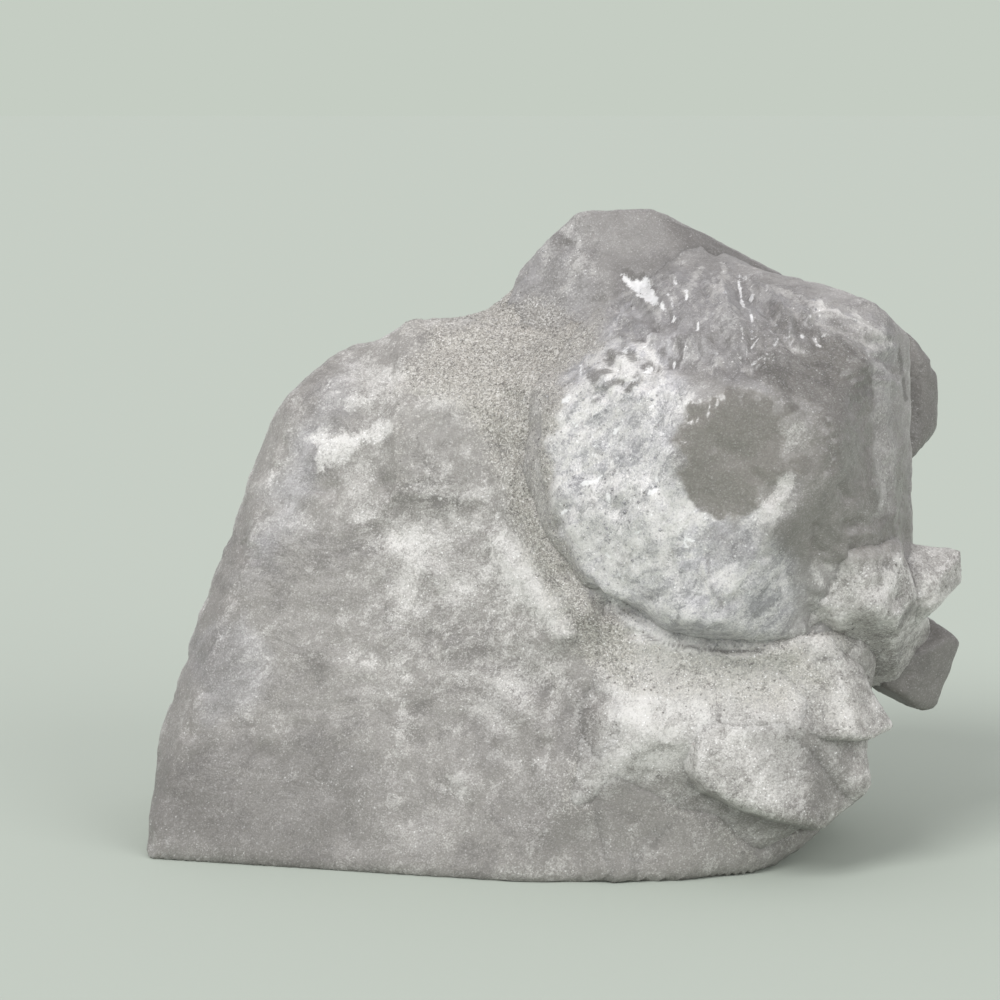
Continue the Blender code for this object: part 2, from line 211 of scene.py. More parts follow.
def insideOutline(flat, stops):
    # Distance to a closed line of corners: positive inside it. A place is inside where the line is
    # crossed an odd number of times on the way to the right.
    gap, inside = np.full(len(flat), 1e9), np.zeros(len(flat), dtype=bool)
    for start, end in zip(stops, np.roll(stops, -1, axis=0)):
        side = end - start
        t = np.clip((flat - start) @ side / (side @ side), 0, 1)
        offset = flat - start - t[:, None] * side
        gap = np.minimum(gap, np.hypot(offset[:, 0], offset[:, 1]))
        if side[1] != 0:
            crossing = (start[1] > flat[:, 1]) != (end[1] > flat[:, 1])
            inside ^= crossing & (flat[:, 0] < start[0] + (flat[:, 1] - start[1]) * side[0] / side[1])
    return np.where(inside, gap, -gap)


def facingFront(normals):
    # 1 where the surface is turned to the front, easing to 0 where it looks a little to the back.
    return ease(0.25, -0.1, normals[:, 1])


def fadeEnds(along, part):
    # 1 along the middle of a line, easing to 0 over this part of its length at either end.
    return ease(0, part, along) * ease(1, 1 - part, along)


def zoneAmount(points, facing, softness, outline):
    # Full inside the outline, nothing outside, with a ragged edge as wide as the softness, and only on
    # the side that is turned to the front. The outline is a closed line of (x, z) corners. Further
    # from it than the margin, the raggedness changes nothing.
    margin = 3 * softness + 3
    stops, flat = np.array(outline, dtype=float), points[:, [0, 2]]
    around = (flat > stops.min(axis=0) - margin) & (flat < stops.max(axis=0) + margin)
    near = np.flatnonzero(around.all(axis=1) & (facing > 0))
    depth = insideOutline(flat[near], stops)
    edge = np.abs(depth) < margin
    depth[edge] += (0.5 + 0.5 * softness) * cloudNoise(points[near[edge]], 2.5 + softness, 4, softness)
    amount = np.zeros(len(points))
    amount[near] = facing[near] * ease(-softness, softness, depth)
    return amount


# The bright mark is painted glints. The dark mark is partly the quartz's own darker tone and partly painted
# shade in creases and under edges. The white mark is mostly milky veils, and in two zones painted light
# against shade.
markNames = ("sand", "white", "cool", "clear", "dark", "bright")
paleEdge = 0.3      # how white the worn edges are

# Veins and ridges reach this many half widths to either side, and wander by these shares of one.
lineLook = {"reach": 4, "veinWander": 0.8, "ridgeWander": 0.35}


def crystalMarks(crystal, points, normals, share):
    # A face's own finish, blended at the edges, then zones, facets and streaks on the side turned to the
    # front. Each mark runs from 0 to about 1.
    marks = {mark: np.full(len(points), crystal["finish"].get(mark, 0.0)) for mark in markNames}
    for number, face in enumerate(crystal["faces"].values()):
        for mark, amount in (face[3] if len(face) > 3 else {}).items():
            marks[mark] += share[:, number] * (amount - crystal["finish"].get(mark, 0.0))
    edge = 1 - share.max(axis=1)
    marks["white"] += paleEdge * ease(0.05, 0.5, edge + 0.3 * cloudNoise(points, 3, 3, 0.4))
    facing = facingFront(normals)
    for mark, amount, softness, outline in frontZones:
        # a positive amount fills up what is left of the mark, a negative one takes its share away
        inside = zoneAmount(points, facing, softness, outline)
        kept = marks[mark]
        marks[mark] = kept + amount * inside * (1 - kept if amount > 0 else kept)
    for _, rise, softness, outline, size, turn, tones in brokenZones:
        amount = zoneAmount(points, facing, softness, outline) if tones else np.zeros(len(points))
        near = amount > 0
        tone = facetNoise(points[near], size, turn, rise)[1] if near.any() else 0
        for mark, low, high in tones:
            toned = amount[near] * ease(low, high, tone)
            marks[mark][near] += toned * (1 - marks[mark][near])
    for mark, amount, width, path in (*frontVeins, *frontStreaks):
        near, gap, along = nearPath(points, facing, path, lineLook["reach"] * width)
        gap += lineLook["veinWander"] * width * cloudNoise(points[near], 1.5, 2, width)
        fade = fadeEnds(along, 0.1)
        marks[mark][near] += amount * fade * ease(1.3 * width, 0.3 * width, gap) * (1 - marks[mark][near])
    return marks


def drawStreaks(zone, draw):
    # Streaks start anywhere in the zone's box that is inside its outline, and bend a little midway.
    mark, amount, count, outline, slope, spread, lengths, widths = zone
    stops = np.array(outline, dtype=float)
    spots = draw.uniform(stops.min(axis=0), stops.max(axis=0), (count * 6, 2))
    spots = spots[insideOutline(spots, stops) > 0][:count]
    angles = np.radians(draw.normal(slope, spread, len(spots)))
    long, wide = draw.uniform(*lengths, len(spots)), draw.uniform(*widths, len(spots))
    ahead = np.stack([np.cos(angles), np.sin(angles)], axis=1) * long[:, None] / 2
    bend = ahead[:, ::-1] * draw.normal(0, 0.2, (len(spots), 2))
    paths = np.stack([spots - ahead, spots + bend, spots + ahead], axis=1)
    strength = amount * draw.uniform(0.5, 1.0, len(spots))
    return [(mark, strength[row], wide[row], paths[row]) for row in range(len(spots))]


def facetNoise(points, size, turn=0.0, shift=0.0):
    # Seen from the front, a lattice of triangles whose corners have random heights joined by flat
    # facets: in a triangle the height is the corners' heights weighed by nearness, about -1 to 1. Each
    # triangle also has a tone of its own, 0 to 1.
    a = math.radians(turn)
    flat = np.stack([points[:, 0] * math.cos(a) + points[:, 2] * math.sin(a) + 0.15 * points[:, 1],
                     points[:, 2] * math.cos(a) - points[:, 0] * math.sin(a) + 0.1 * points[:, 1]])
    flat = flat / np.reshape(size, (2, 1)) + shift
    flat += 0.35 * np.stack([np.sin(2.1 * flat[1] + shift), np.sin(1.7 * flat[0] + 2 * shift)])
    triangleSkew = 0.366        # turns a lattice of squares into one of triangles
    skewed = flat + triangleSkew * flat.sum(axis=0)
    cell = np.floor(skewed).astype(int)
    inside = skewed - cell
    swap = inside[1] > inside[0]
    high, low = np.maximum(*inside), np.minimum(*inside)

    def cornerHeight(right, up, layer=7):
        return latticeArrows[0, (cell[0] + right) % latticeSide, (cell[1] + up) % latticeSide, layer]

    middle = cornerHeight(np.where(swap, 0, 1), np.where(swap, 1, 0))
    height = (1 - high) * cornerHeight(0, 0) + (high - low) * middle + low * cornerHeight(1, 1)
    return 1.6 * height, 0.5 + 0.5 * np.where(swap, cornerHeight(0, 0, 11), cornerHeight(0, 0, 17))


# Size in millimetres, layers and shift of the noise behind each part of the relief.
reliefNoise = {
    "swell": (24, 3, 1.7), "scoop": (8.5, 3, 9.1), "levels": (13, 3, 4.4), "grain": (1.7, 2, 2.2),
    "chip": (6, 3, 6.6),
}


# Steps rise over the middle of each level; chips break the edges where their noise is high; a broken
# zone's facets carry smaller ones, turned and shifted.
reliefLook = {
    "stepEdge": (0.35, 0.65), "sandGrain": 1.5, "wornEdge": (0.02, 0.45), "chipped": (-0.1, 0.7),
    "smallFacets": 0.4, "smallFacetSize": 0.43, "smallFacetTurn": 33, "smallFacetShift": 3,
}


def crystalRelief(relief, points, normals, share, marks):
    # Slow swells, shallow scoops, thin growth steps, chips along the edges, broken facets, pits, ridges
    # and grooves, all along the face's own direction; the cut base stays flat.
    noise = {part: cloudNoise(points, *setting) for part, setting in reliefNoise.items()}
    height = relief["puff"] + relief["swell"] * noise["swell"]
    height -= relief["scoop"] * np.abs(noise["scoop"])
    level = noise["levels"] * relief["levels"]
    whole = np.floor(level)
    height += relief["step"] * (whole + ease(*reliefLook["stepEdge"], level - whole) - level)
    sandy = 1 + reliefLook["sandGrain"] * marks["sand"]
    height += relief["grain"] * noise["grain"] * sandy * (1 - marks["clear"])
    edge = 1 - share.max(axis=1)
    worn, chipped = ease(*reliefLook["wornEdge"], edge), ease(*reliefLook["chipped"], noise["chip"])
    height -= relief["chip"] * worn * chipped
    facing = facingFront(normals)
    for _, rise, softness, outline, size, turn, _ in brokenZones:
        amount = zoneAmount(points, facing, softness, outline)
        near = amount > 0
        facets, _ = facetNoise(points[near], size, turn, rise)
        smaller = np.array(size) * reliefLook["smallFacetSize"]
        turned, shifted = turn + reliefLook["smallFacetTurn"], rise + reliefLook["smallFacetShift"]
        facets += reliefLook["smallFacets"] * facetNoise(points[near], smaller, turned, shifted)[0]
        height[near] += rise * amount[near] * facets
    for path, width, rise in frontRidges:
        near, gap, along = nearPath(points, facing, path, lineLook["reach"] * width)
        gap += lineLook["ridgeWander"] * width * cloudNoise(points[near], 4, 2, 3.3)
        fade = facing[near] * fadeEnds(along, 0.12)
        height[near] += rise * fade * np.exp(-(gap / width)**2)
    for x, z, size, depth in frontPits:
        gap = np.hypot(points[:, 0] - x, points[:, 2] - z) / size
        near = gap < 2
        gap[near] += 0.45 * cloudNoise(points[near], 1.6, 2, x)
        height -= depth * facing * ease(1.15, 0.45, gap)
    height *= (1 - share[:, -1]) * ease(-1, 2, points[:, 2])
    moved = points + normals * height[:, None]
    moved[:, 2] = np.maximum(moved[:, 2], 0)
    return moved


def crystalDepths(points):
    # How far each point lies outside each crystal's faces, the ground left out; below 0 inside.
    depths = []
    for crystal in clusterCrystals.values():
        centre, outward, away = crystalPlanes(crystal)
        depths.append(((points - centre) @ outward[:-1].T - away[:-1]).max(axis=1))
    return np.array(depths)


def skinDepth(points):
    # How far each point lies outside the joined cluster: the least of its depths, m, less the filling
    # (k - a - b)^2 / 4k of a corner k wide, where a and b are how much deeper its two crystals lie than m.
    depths = crystalDepths(points)
    nearest, second = np.partition(depths, 1, axis=0)[:2]
    order = list(clusterCrystals)
    width = cornerFills["others"]
    filling = np.maximum(width - (second - nearest), 0)**2 / (4 * width)
    for (one, other), width in cornerFills["widths"].items():
        apart = depths[order.index(one)] + depths[order.index(other)] - 2 * nearest
        filling = np.maximum(filling, np.maximum(width - apart, 0)**2 / (4 * width))
    return nearest - filling, depths


def fillCorners(name, points, normals, share):
    # Each point rises along its face's direction to the cluster's filled skin; past the middle of a
    # corner, where the neighbour is nearer, it stays under the skin, so that the two surfaces cross once.
    own = list(clusterCrystals).index(name)
    depths = crystalDepths(points)
    start = depths[own].copy()
    others = np.delete(depths, own, axis=0).min(axis=0)
    near = (others < cornerFills["reach"]) & (share[:, -1] < 0.5)
    raised = np.zeros(len(points))
    for _ in range(cornerFills["steps"]):
        depth, depths = skinDepth(points[near] + normals[near] * raised[near, None])
        others = np.delete(depths, own, axis=0).min(axis=0)
        below = cornerFills["below"] * ease(0, 3.5, depths[own] - others)
        raised[near] = np.clip(raised[near] + 0.8 * (start[near] - below - depth), 0, cornerFills["most"])
    filled = raised * (1 + 0.15 * cloudNoise(points, 9, 3, 5.5)) * ease(-0.75, -0.25, normals[:, 2])
    points = points + normals * filled[:, None]
    points[:, 2] = np.maximum(points[:, 2], 0)
    return points, raised


crystalRows = {}


def growCrystal(name, crystal, material):
    # The surface with its corners filled, then relief where it can be seen: its marks and heights are
    # worked out only where it lies less than "hidden" deep in the other crystals.
    points, normals, share, faces = crystalSurface(crystal)
    points, raised = fillCorners(name, points, normals, share)
    own = list(clusterCrystals).index(name)
    seen = np.flatnonzero(np.delete(crystalDepths(points), own, axis=0).min(axis=0) > -cornerFills["hidden"])
    seenMarks = crystalMarks(crystal, points[seen], normals[seen], share[seen])
    crusted = raised[seen] + 0.5 * cloudNoise(points[seen], 4, 3, 8.8)
    crusted = ease(1.0, 3.0, crusted) * cornerFills["sand"] * (1 - 0.9 * seenMarks["cool"])
    seenMarks["sand"] = np.maximum(seenMarks["sand"], crusted)
    relief = crystal["relief"]
    points[seen] = crystalRelief(relief, points[seen], normals[seen], share[seen], seenMarks)
    marks = {mark: np.zeros(len(points)) for mark in markNames}
    for mark in markNames:
        marks[mark][seen] = seenMarks[mark]
    crystalRows[name] = {
        "crystal": crystal, "points": points, "normals": normals, "marks": marks, "faces": faces,
    }
    return newPiece(name, points, faces, material, marks)


def buried(points, skip=None):
    # How deep each point lies in the other crystals: over 0 inside, and about the depth in millimetres.
    deepest = np.full(len(points), -1e9)
    for name, row in crystalRows.items():
        if name == skip:
            continue
        centre, outward, away = crystalPlanes(row["crystal"])
        deepest = np.maximum(deepest, (away - (points - centre) @ outward.T).min(axis=1))
    return deepest


# Heights of the relief in millimetres; levels sets how close together the growth steps lie.
smoothRelief = {
    "puff": 0.55, "swell": 0.35, "scoop": 0.22, "levels": 3.0, "step": 0.1, "grain": 0.05, "chip": 0.8,
}
crustRelief = {
    "puff": 0.3, "swell": 0.28, "scoop": 0.14, "levels": 4.0, "step": 0.14, "grain": 0.08, "chip": 0.7,
}
smallRelief = {
    "puff": 0.35, "swell": 0.2, "scoop": 0.18, "levels": 4.0, "step": 0.1, "grain": 0.06, "chip": 0.6,
}

# Faces: turn and tilt in degrees, distance from the centre, and for some a finish of their own.
leftCrystal = {
    "centre": (-18, 4, 46), "cells": 210, "rounding": 0.5, "relief": smoothRelief, "finish": {"white": 0.1},
    "faces": {
        "broad front": (-13, 15, 22.5), "front by the ridge": (3, 13, 29), "foot": (-5, 2, 36.5),
        "right foot": (30, 3, 51.5), "left bevel": (-58, 21, 39.8), "left side": (-97, 17, 43.2),
        "left shoulder": (-97, 19, 42.9), "left foot": (-90, 6, 51.4), "upper left": (-102, 35, 46),
        "left crest": (-106, 47, 47.8), "crest": (-174, 71, 45.5), "upper bevel": (-22, 52, 39),
        "upper front": (-12, 44, 35.5, {"sand": 0.6}), "back left": (-150, 18, 37), "back": (172, 14, 21),
        "upper back": (150, 44, 34), "right back": (120, 6, 52), "right slope": (70, 60, 58),
        "right side": (90, 10, 58), "right underside": (75, -56, 73.3),
    },
}

frontCrystal = {
    "centre": (36, -12, 76), "cells": 215, "rounding": 0.5, "relief": smoothRelief,
    "finish": {"cool": 0.15, "dark": 0.2},
    "faces": {
        "window": (4, 4, 33.5, {"dark": 0.2}),
        "bright face": (-40, 12, 34.5, {"cool": 0.3, "white": 0.3, "dark": 0}),
        "upper left": (-26, 46, 31.5, {"dark": 0.1}), "upper right": (20, 42, 30.5),
        "right face": (56, 4, 27.5, {"dark": 0.3}), "right side": (92, 1, 28, {"dark": 0.2}),
        "lower front": (-6, -5, 34, {"dark": 0}),
        "lower left": (-38, -16, 38, {"cool": 0.3, "white": 0.3, "dark": 0}),
        "lower right": (30, -22, 32, {"dark": 0.1}), "right crest": (108, 52, 30.4),
        "far crest": (123, 62, 30.6), "top": (0, 76, 28.5), "left crest": (-84, 45, 30.5),
        "left side": (-97, 2, 34), "lower left side": (-95, -16, 34), "left underside": (-87, -28, 36),
        "left overhang": (-70, -51, 38.5), "overhang": (-34, -66, 38), "right overhang": (6, -69, 38),
        "back": (172, 14, 28), "upper back": (140, 30, 38), "left back": (-150, 20, 32),
        "right back": (134, -4, 34), "back root": (176, -38, 31),
    },
}

topCrystal = {
    "centre": (22, 14, 102), "cells": 120, "rounding": 0.45, "relief": smallRelief,
    "finish": {"cool": 0.15, "dark": 0.3},
    "faces": {
        # the dark slope's dark mark is partly the clear quartz's own darker tone and partly painted shade of
        # a face turned away from the light
        "front": (-4, 34, 14.5, {"dark": 0.45}), "dark slope": (34, 40, 14, {"dark": 1.0}),
        "left end": (-101, 23, 23.5), "left facet": (-62, 26, 24, {"cool": 0.4, "dark": 0.45}),
        "left front facet": (-30, 20, 19, {"cool": 0.3, "dark": 0.48}), "left crest": (-107, 45, 21),
        "crest": (-170, 72, 13.5), "right crest": (121, 60, 11), "back": (176, 16, 13),
        "upper back": (150, 44, 15), "left back": (-140, 10, 20), "right end": (90, 0, 32),
        "root": (0, -60, 20), "back root": (166, -34, 15), "left root": (-100, -20, 26),
        "front root": (0, -10, 16),
    },
}

saddle = {
    "centre": (0, 10, 84), "cells": 120, "rounding": 1.4, "relief": crustRelief, "finish": {"sand": 0.9},
    "faces": {
        "left crest": (-118, 57, 19.5), "crest": (-116, 59, 19.5), "right crest": (-113, 54, 20),
        "upper front": (-16, 46, 14), "upper right front": (8, 50, 19.5), "front": (-4, 16, 16),
        "right front": (24, 20, 21), "back": (166, 28, 17), "left back": (-152, 16, 20),
        "right end": (90, 20, 20), "left end": (-90, 0, 24), "root": (0, -70, 20),
    },
}

backRightCrystal = {
    "centre": (57, 11, 80), "cells": 84, "rounding": 0.8, "relief": smallRelief, "finish": {"dark": 0.7},
    "faces": {
        "right side": (89, 1, 16), "crest": (100, 43, 16), "top": (171, 66, 12),
        "lower side": (81, -39, 15), "underside": (79, -55, 14), "front": (-10, 8, 9),
        "front bevel": (44, 4, 16), "back": (160, 10, 14), "upper back": (130, 30, 17),
        "back underside": (140, -34, 14), "root": (-90, 0, 16),
    },
}

sideBlock = {
    "centre": (51, -22, 48), "cells": 84, "rounding": 0.2, "relief": smallRelief,
    "finish": {"sand": 0.25, "white": 0.48},
    "faces": {
        "front": (2, 14, 17), "right front": (46, 12, 15), "right underside": (60, -22, 13),
        "left front": (-30, 0, 12.5), "top": (-36, 84, 12.5), "underside": (0, -50, 8.5),
        "cut end": (20, -82, 15.5), "right side": (85, 22, 14), "right back": (140, 16, 16),
        "back": (180, 0, 22), "root": (-90, 0, 24),
    },
}

upperSideTip = {
    "centre": (60, -16, 54), "cells": 72, "rounding": 0.2, "relief": smallRelief,
    "finish": {"sand": 0.15, "white": 0.5},
    "faces": {
        "front": (-4, 10, 10), "upper front": (10, 52, 7), "top": (168, 70, 3), "right end": (90, 9, 13.5),
        "underside": (78, -48, 11.5), "right front": (50, -2, 13.5), "lower front": (0, -40, 12),
        "upper back": (160, 50, 9), "back": (180, 0, 10), "root": (-90, 0, 16),
    },
}

lowerSideTip = {
    "centre": (58, -5, 37), "cells": 72, "rounding": 0.2, "relief": smallRelief, "finish": {"dark": 0.62},
    "faces": {
        "front": (-2, 4, 11.5), "right front": (38, -10, 14.5), "top": (105, 48, 11.5),
        "right end": (85, -20, 16), "underside": (36, -84, 11.5), "left underside": (-81, -46, 3.5),
        "root underside": (-71, -58, 5), "upper front": (0, 60, 6.5), "back": (152, 12, 12),
        "back underside": (150, -40, 12), "root": (-90, 0, 24),
    },
}

smallSideTip = {
    "centre": (47, -26, 32), "cells": 72, "rounding": 0.25, "relief": smallRelief,
    "finish": {"sand": 0.3, "white": 0.45},
    "faces": {
        "front": (-6, 14, 10), "right front": (40, 20, 10.5), "top": (97, 32, 8.4),
        "right end": (90, 1, 13), "lower right": (65, -63, 10.5), "underside": (-11, -74, 8),
        "upper left": (109, 59, 7.5), "back": (180, 0, 10), "root": (-90, 0, 20),
    },
}

lowerRightPlate = {
    "centre": (32, -14, 20), "cells": 120, "rounding": 0.25, "relief": smallRelief,
    "finish": {"white": 0.3},
    "faces": {
        "front": (6, 8, 25.5, {"white": 0.5}), "right front": (38, 6, 26.5, {"sand": 0.2}),
        "right side": (89, -5, 24, {"dark": 0.3}), "lower right": (72, -47, 22),
        "lower left edge": (-50, -60, 12), "lower edge": (-41, -69, 11.5), "left edge": (-68, -31, 13.5),
        "upper front": (-8, 46, 23), "left front": (-60, 12, 19), "upper right": (100, 24, 28),
        "back": (160, 0, 30), "root": (-90, 0, 30),
    },
}

rightFoot = {
    "centre": (16, -2, 14), "cells": 110, "rounding": 0.6, "relief": smoothRelief, "finish": {"dark": 0.1},
    "faces": {
        "front": (16, 0, 30), "right front": (42, -4, 33.5), "right underside": (75, -56, 27.5),
        "right side": (90, -4, 40), "right back": (146, 5, 34), "back": (176, 5, 30), "root": (-60, 0, 22),
        "top": (0, 60, 30),
    },
}

sandyLedge = {
    "centre": (22, -12, 40), "cells": 130, "rounding": 0.7, "relief": crustRelief,
    "finish": {"sand": 0.2, "white": 0.3},
    "faces": {
        "front": (-2, 26, 18.5), "left front": (-44, 18, 18.5), "underside": (0, -24, 29.5),
        "right front": (36, 14, 30.5), "right side": (92, -1, 36), "right underside": (94, -57, 38),
        "right shoulder": (90, 10, 30), "right back": (128, 8, 40), "back": (180, 6, 36),
        "root": (-90, 0, 28), "top": (0, 80, 24),
    },
}

# How wide the crust is that fills the corner between two crystals, in millimetres.
cornerFills = {
    "others": 0.8, "reach": 24, "steps": 7, "below": 2.5, "most": 5.0, "sand": 0.6, "hidden": 4.0,
    "widths": {
        ("leftCrystal", "frontCrystal"): 22, ("leftCrystal", "topCrystal"): 4, ("leftCrystal", "saddle"): 12,
        ("leftCrystal", "rightFoot"): 4, ("leftCrystal", "sandyLedge"): 9, ("frontCrystal", "topCrystal"): 6,
        ("frontCrystal", "saddle"): 15, ("frontCrystal", "sandyLedge"): 12, ("topCrystal", "saddle"): 9,
        ("rightFoot", "sandyLedge"): 4,
    },
}

# Zones of finish on the side turned to the front, a few of them painted light, painted shade and a painted
# glint: mark, amount, softness of the edge, (x, z) corners.
frostedFace = (
    (3, 88), (9, 93), (14, 98), (17, 96), (19, 91), (23, 88), (19, 80), (19, 75), (23, 70), (28, 67),
    (25, 62), (16, 57), (12, 50), (7, 52), (4, 58), (1, 66), (0, 77),
)
lowFace = ((9, 49), (8, 55), (14, 60), (25, 63), (35, 67), (41, 59), (43, 49), (36, 43), (26, 42), (16, 44))
windowFace = (
    (20, 80), (23, 86), (30, 89), (36, 87), (42, 85), (44, 80), (42, 74), (37, 69), (28, 67), (23, 70),
    (21, 75), (23, 78),
)
rightFace = (
    (36, 92), (46, 96), (58, 92), (64, 72), (66, 58), (53, 57), (42, 58), (34, 66), (38, 71), (42, 75),
    (43, 80), (41, 86), (35, 88),
)
upperRight = ((30, 90), (36, 104), (57, 99), (62, 90), (58, 86), (46, 84), (36, 88))
ridgeStreak = (
    (-12, 60), (-8, 61), (-4, 58), (-1, 52), (2, 48), (4, 42), (0, 43), (-3, 47), (-7, 50), (-10, 55),
)
brokenEdge = (
    (10, 97), (13, 106), (24, 107.5), (36, 106), (48, 101), (46, 95), (38, 94), (30, 90), (24, 92),
    (18, 92),
)
topEnd = ((-3, 104), (-1, 112), (4, 117), (9, 112), (8, 104), (2, 101))
darkFacet = ((25, 66), (34, 65), (40, 66), (40, 60), (26, 59))
crestCorner = ((54.5, 95), (59, 96), (60, 82), (58.5, 66), (56, 66))
brokenFoot = ((22, 96), (28, 99), (36, 98), (40, 91), (32, 89), (22, 89))
frontZones = (
    ("sand", 0.85, 4.0, ((-23, 95), (-4, 103), (6, 99), (12, 98), (8, 84), (4, 72), (6, 58), (12, 47),
        (12, 38), (4, 40), (1, 47), (-4, 59), (-8, 66), (-12, 74), (-18, 82), (-26, 89))),
    ("sand", 0.55, 2.0, ((6, 46), (14, 46), (30, 44), (44, 44), (48, 36), (40, 32), (28, 33), (16, 33),
        (6, 38))),
    # paler ledge: partly its own pale crust, partly painted light against the shadow of the front crystal's
    # overhang
    ("white", 0.68, 3.5, ((6, 44), (14, 46), (30, 44), (44, 44), (46, 34), (28, 30), (12, 30))),
    ("white", 0.55, 3.0, ((4, 32), (26, 34), (26, 24), (18, 20), (6, 24))),
    # painted light: lightens the groove along the left and lower edge of the frosted face, where the corner
    # between the crystals falls in shade
    ("white", 0.45, 3.0, ((-6, 88), (3, 88), (0, 74), (2, 60), (12, 50), (24, 44), (20, 40), (6, 45),
        (-4, 57), (-8, 72))),
    ("white", 0.3, 2.5, ((31, 87), (40, 85), (42, 75), (38, 65), (31, 66), (34, 75))),
    ("sand", -0.85, 3.0, ((-80, -5), (-80, 30), (4, 30), (20, 20), (60, 18), (60, -5))),
    ("white", 0.2, 0.8, ((20.9, 25.3), (25.2, 29.6), (31.3, 31.4), (41.3, 35.8), (45.2, 32.6),
        (42.6, 27), (41.7, 22.6), (45.2, 16.5), (42.6, 12.6), (31.3, 15.6), (25.2, 18.3))),
    ("dark", 0.2, 3.0, ((2, 24), (14, 22), (30, 12), (50, 10), (50, -4), (2, -4))),
    # painted shadow under the lower edge of the plate
    ("dark", 0.4, 1.0, ((24, 19), (28, 15), (38, 12), (46, 11), (50, 8), (40, 8), (28, 10), (20, 16))),
    ("sand", -0.95, 1.8, frostedFace), ("sand", -0.95, 1.5, lowFace), ("sand", -0.9, 1.5, windowFace),
    ("sand", -0.8, 2.0, rightFace), ("cool", 0.85, 3.0, frostedFace), ("white", 0.42, 2.5, frostedFace),
    ("cool", 0.7, 3.0, lowFace), ("white", 0.25, 3.0, lowFace),
    ("white", 0.6, 3.5, ((6, 70), (14, 74), (22, 67), (17, 59), (9, 57))),
    ("white", 0.5, 1.0, ((8, 60), (14, 60), (13, 54), (10, 52))), ("clear", 0.9, 0.8, windowFace),
    ("cool", -0.8, 1.0, windowFace), ("white", -0.8, 1.0, windowFace), ("dark", 0.22, 3.0, rightFace),
    ("clear", 0.6, 3.0, rightFace),
    ("white", 0.25, 3.0, ((27, 60), (42, 62), (43, 48), (34, 44), (27, 48))),
    ("white", 0.12, 4.0, ((38, 74), (56, 74), (58, 60), (44, 60))), ("dark", 0.35, 2.0, darkFacet),
    ("white", -0.4, 2.5, darkFacet), ("dark", 0.22, 3.0, upperRight), ("clear", 0.45, 3.0, upperRight),
    ("white", 0.2, 3.0, upperRight), ("clear", -0.8, 0.8, crestCorner), ("white", 0.42, 0.8, crestCorner),
    ("clear", -0.9, 1.0, ((38, 83), (41, 85), (44, 84), (43, 78), (39, 77))),
    ("white", 0.38, 0.7, ((39, 82), (41, 84), (43, 83), (42, 79), (39, 78))),
    ("clear", -0.8, 1.0, ((32, 66), (35, 72), (40, 76), (42, 74), (40, 68), (35, 64))),
    ("white", 0.62, 0.6, ((33, 67), (36, 71), (40, 75), (41, 73), (38, 69), (35, 65))),
    ("dark", 0.5, 2.0, brokenFoot), ("white", -0.6, 2.0, brokenFoot),
    ("white", 0.85, 1.2, ((-46, 76), (-42, 78), (-37, 77), (-31, 80), (-28, 79), (-29, 76), (-34, 75),
        (-37, 72), (-42, 70), (-44, 72), (-43, 74))),
    ("white", 0.45, 2.0, ((-42, 85), (-38, 89), (-34, 90), (-28, 88), (-32, 84), (-37, 82))),
    ("white", 0.35, 1.8, ((-33, 58), (-28, 61), (-20, 62), (-18, 58), (-20, 52), (-25, 53), (-29, 55))),
    ("white", 0.3, 2.0, ((-24, 70), (-19, 71), (-15, 66), (-18, 62), (-22, 65))),
    ("white", 0.3, 1.5, ((-20, 53), (-14, 53), (-14, 48), (-19, 48))), ("sand", -0.9, 1.0, ridgeStreak),
    ("white", 0.7, 1.2, ridgeStreak),
    ("white", 0.35, 1.8, ((-15, 31), (-6, 38), (1, 42), (2, 35), (-2, 28), (-8, 24), (-13, 25))),
    ("white", 0.45, 0.8, ((-29, 26), (-27, 30), (-23, 26), (-24, 23), (-28, 23))),
    ("white", 0.5, 0.9, ((-20, 19), (-16, 19), (-12, 16), (-15, 15), (-19, 17))),
    ("white", 0.28, 5.0, ((-36, 68), (-10, 70), (0, 44), (-10, 26), (-30, 38))),
    ("cool", 0.3, 3.0, ((-67, 38), (-57, 43), (-52, 38), (-53, 29), (-63, 25))),
    ("dark", 0.3, 2.5, ((-68, 38), (-58, 38), (-54, 33), (-62, 29))),
    ("cool", 0.4, 4.0, ((-57, 50), (-48, 74), (-38, 88), (-46, 60))),
    ("dark", 0.52, 7.0, ((-76, 18), (-46, 25), (-30, 16), (-37, -4), (-76, -4))),
    ("dark", 0.2, 6.0, ((-40, 20), (1, 22), (12, 14), (8, 0), (-37, -4))),
    ("dark", 0.4, 5.0, ((-76, 5), (-72, 30), (-58, 62), (-52, 62), (-58, 30), (-60, 5))),
    ("dark", 0.3, 3.0, ((-10, 18), (2, 17), (6, 6), (-8, 5))),
    ("dark", 0.4, 3.0, ((-4, 34), (8, 34), (10, 24), (0, 22))),
    ("dark", 0.3, 4.0, ((-18, 30), (-6, 34), (4, 22), (-16, 18))),
    ("white", 0.6, 0.8, ((3, 108), (5, 112), (7, 108), (4, 104))), ("cool", 0.35, 1.5, brokenEdge),
    ("cool", 0.3, 2.0, upperRight), ("dark", 0.55, 0.5, ((42.9, 21.5), (46.7, 27), (47.6, 20.8))),
    ("dark", 0.15, 1.0, ((47.6, 27), (54, 26), (52, 16), (46, 11), (44, 14), (47.5, 21))),
    ("white", 0.4, 0.8, ((44, 44.5), (57, 44), (57, 41.5), (45, 41.5))),
    # painted glint: a white highlight on a broken facet at the top of the front crystal
    ("bright", 0.9, 0.6, ((13, 106), (17.5, 105.5), (19.5, 101.5), (17, 101.5), (14, 104))),
    ("dark", 0.35, 2.0, ((34, 28), (44, 32), (54, 26), (50, 10), (40, 12))),
    ("dark", 0.45, 2.0, ((8, 103), (12, 108), (30, 110), (46, 104), (44, 96), (24, 96))),
)
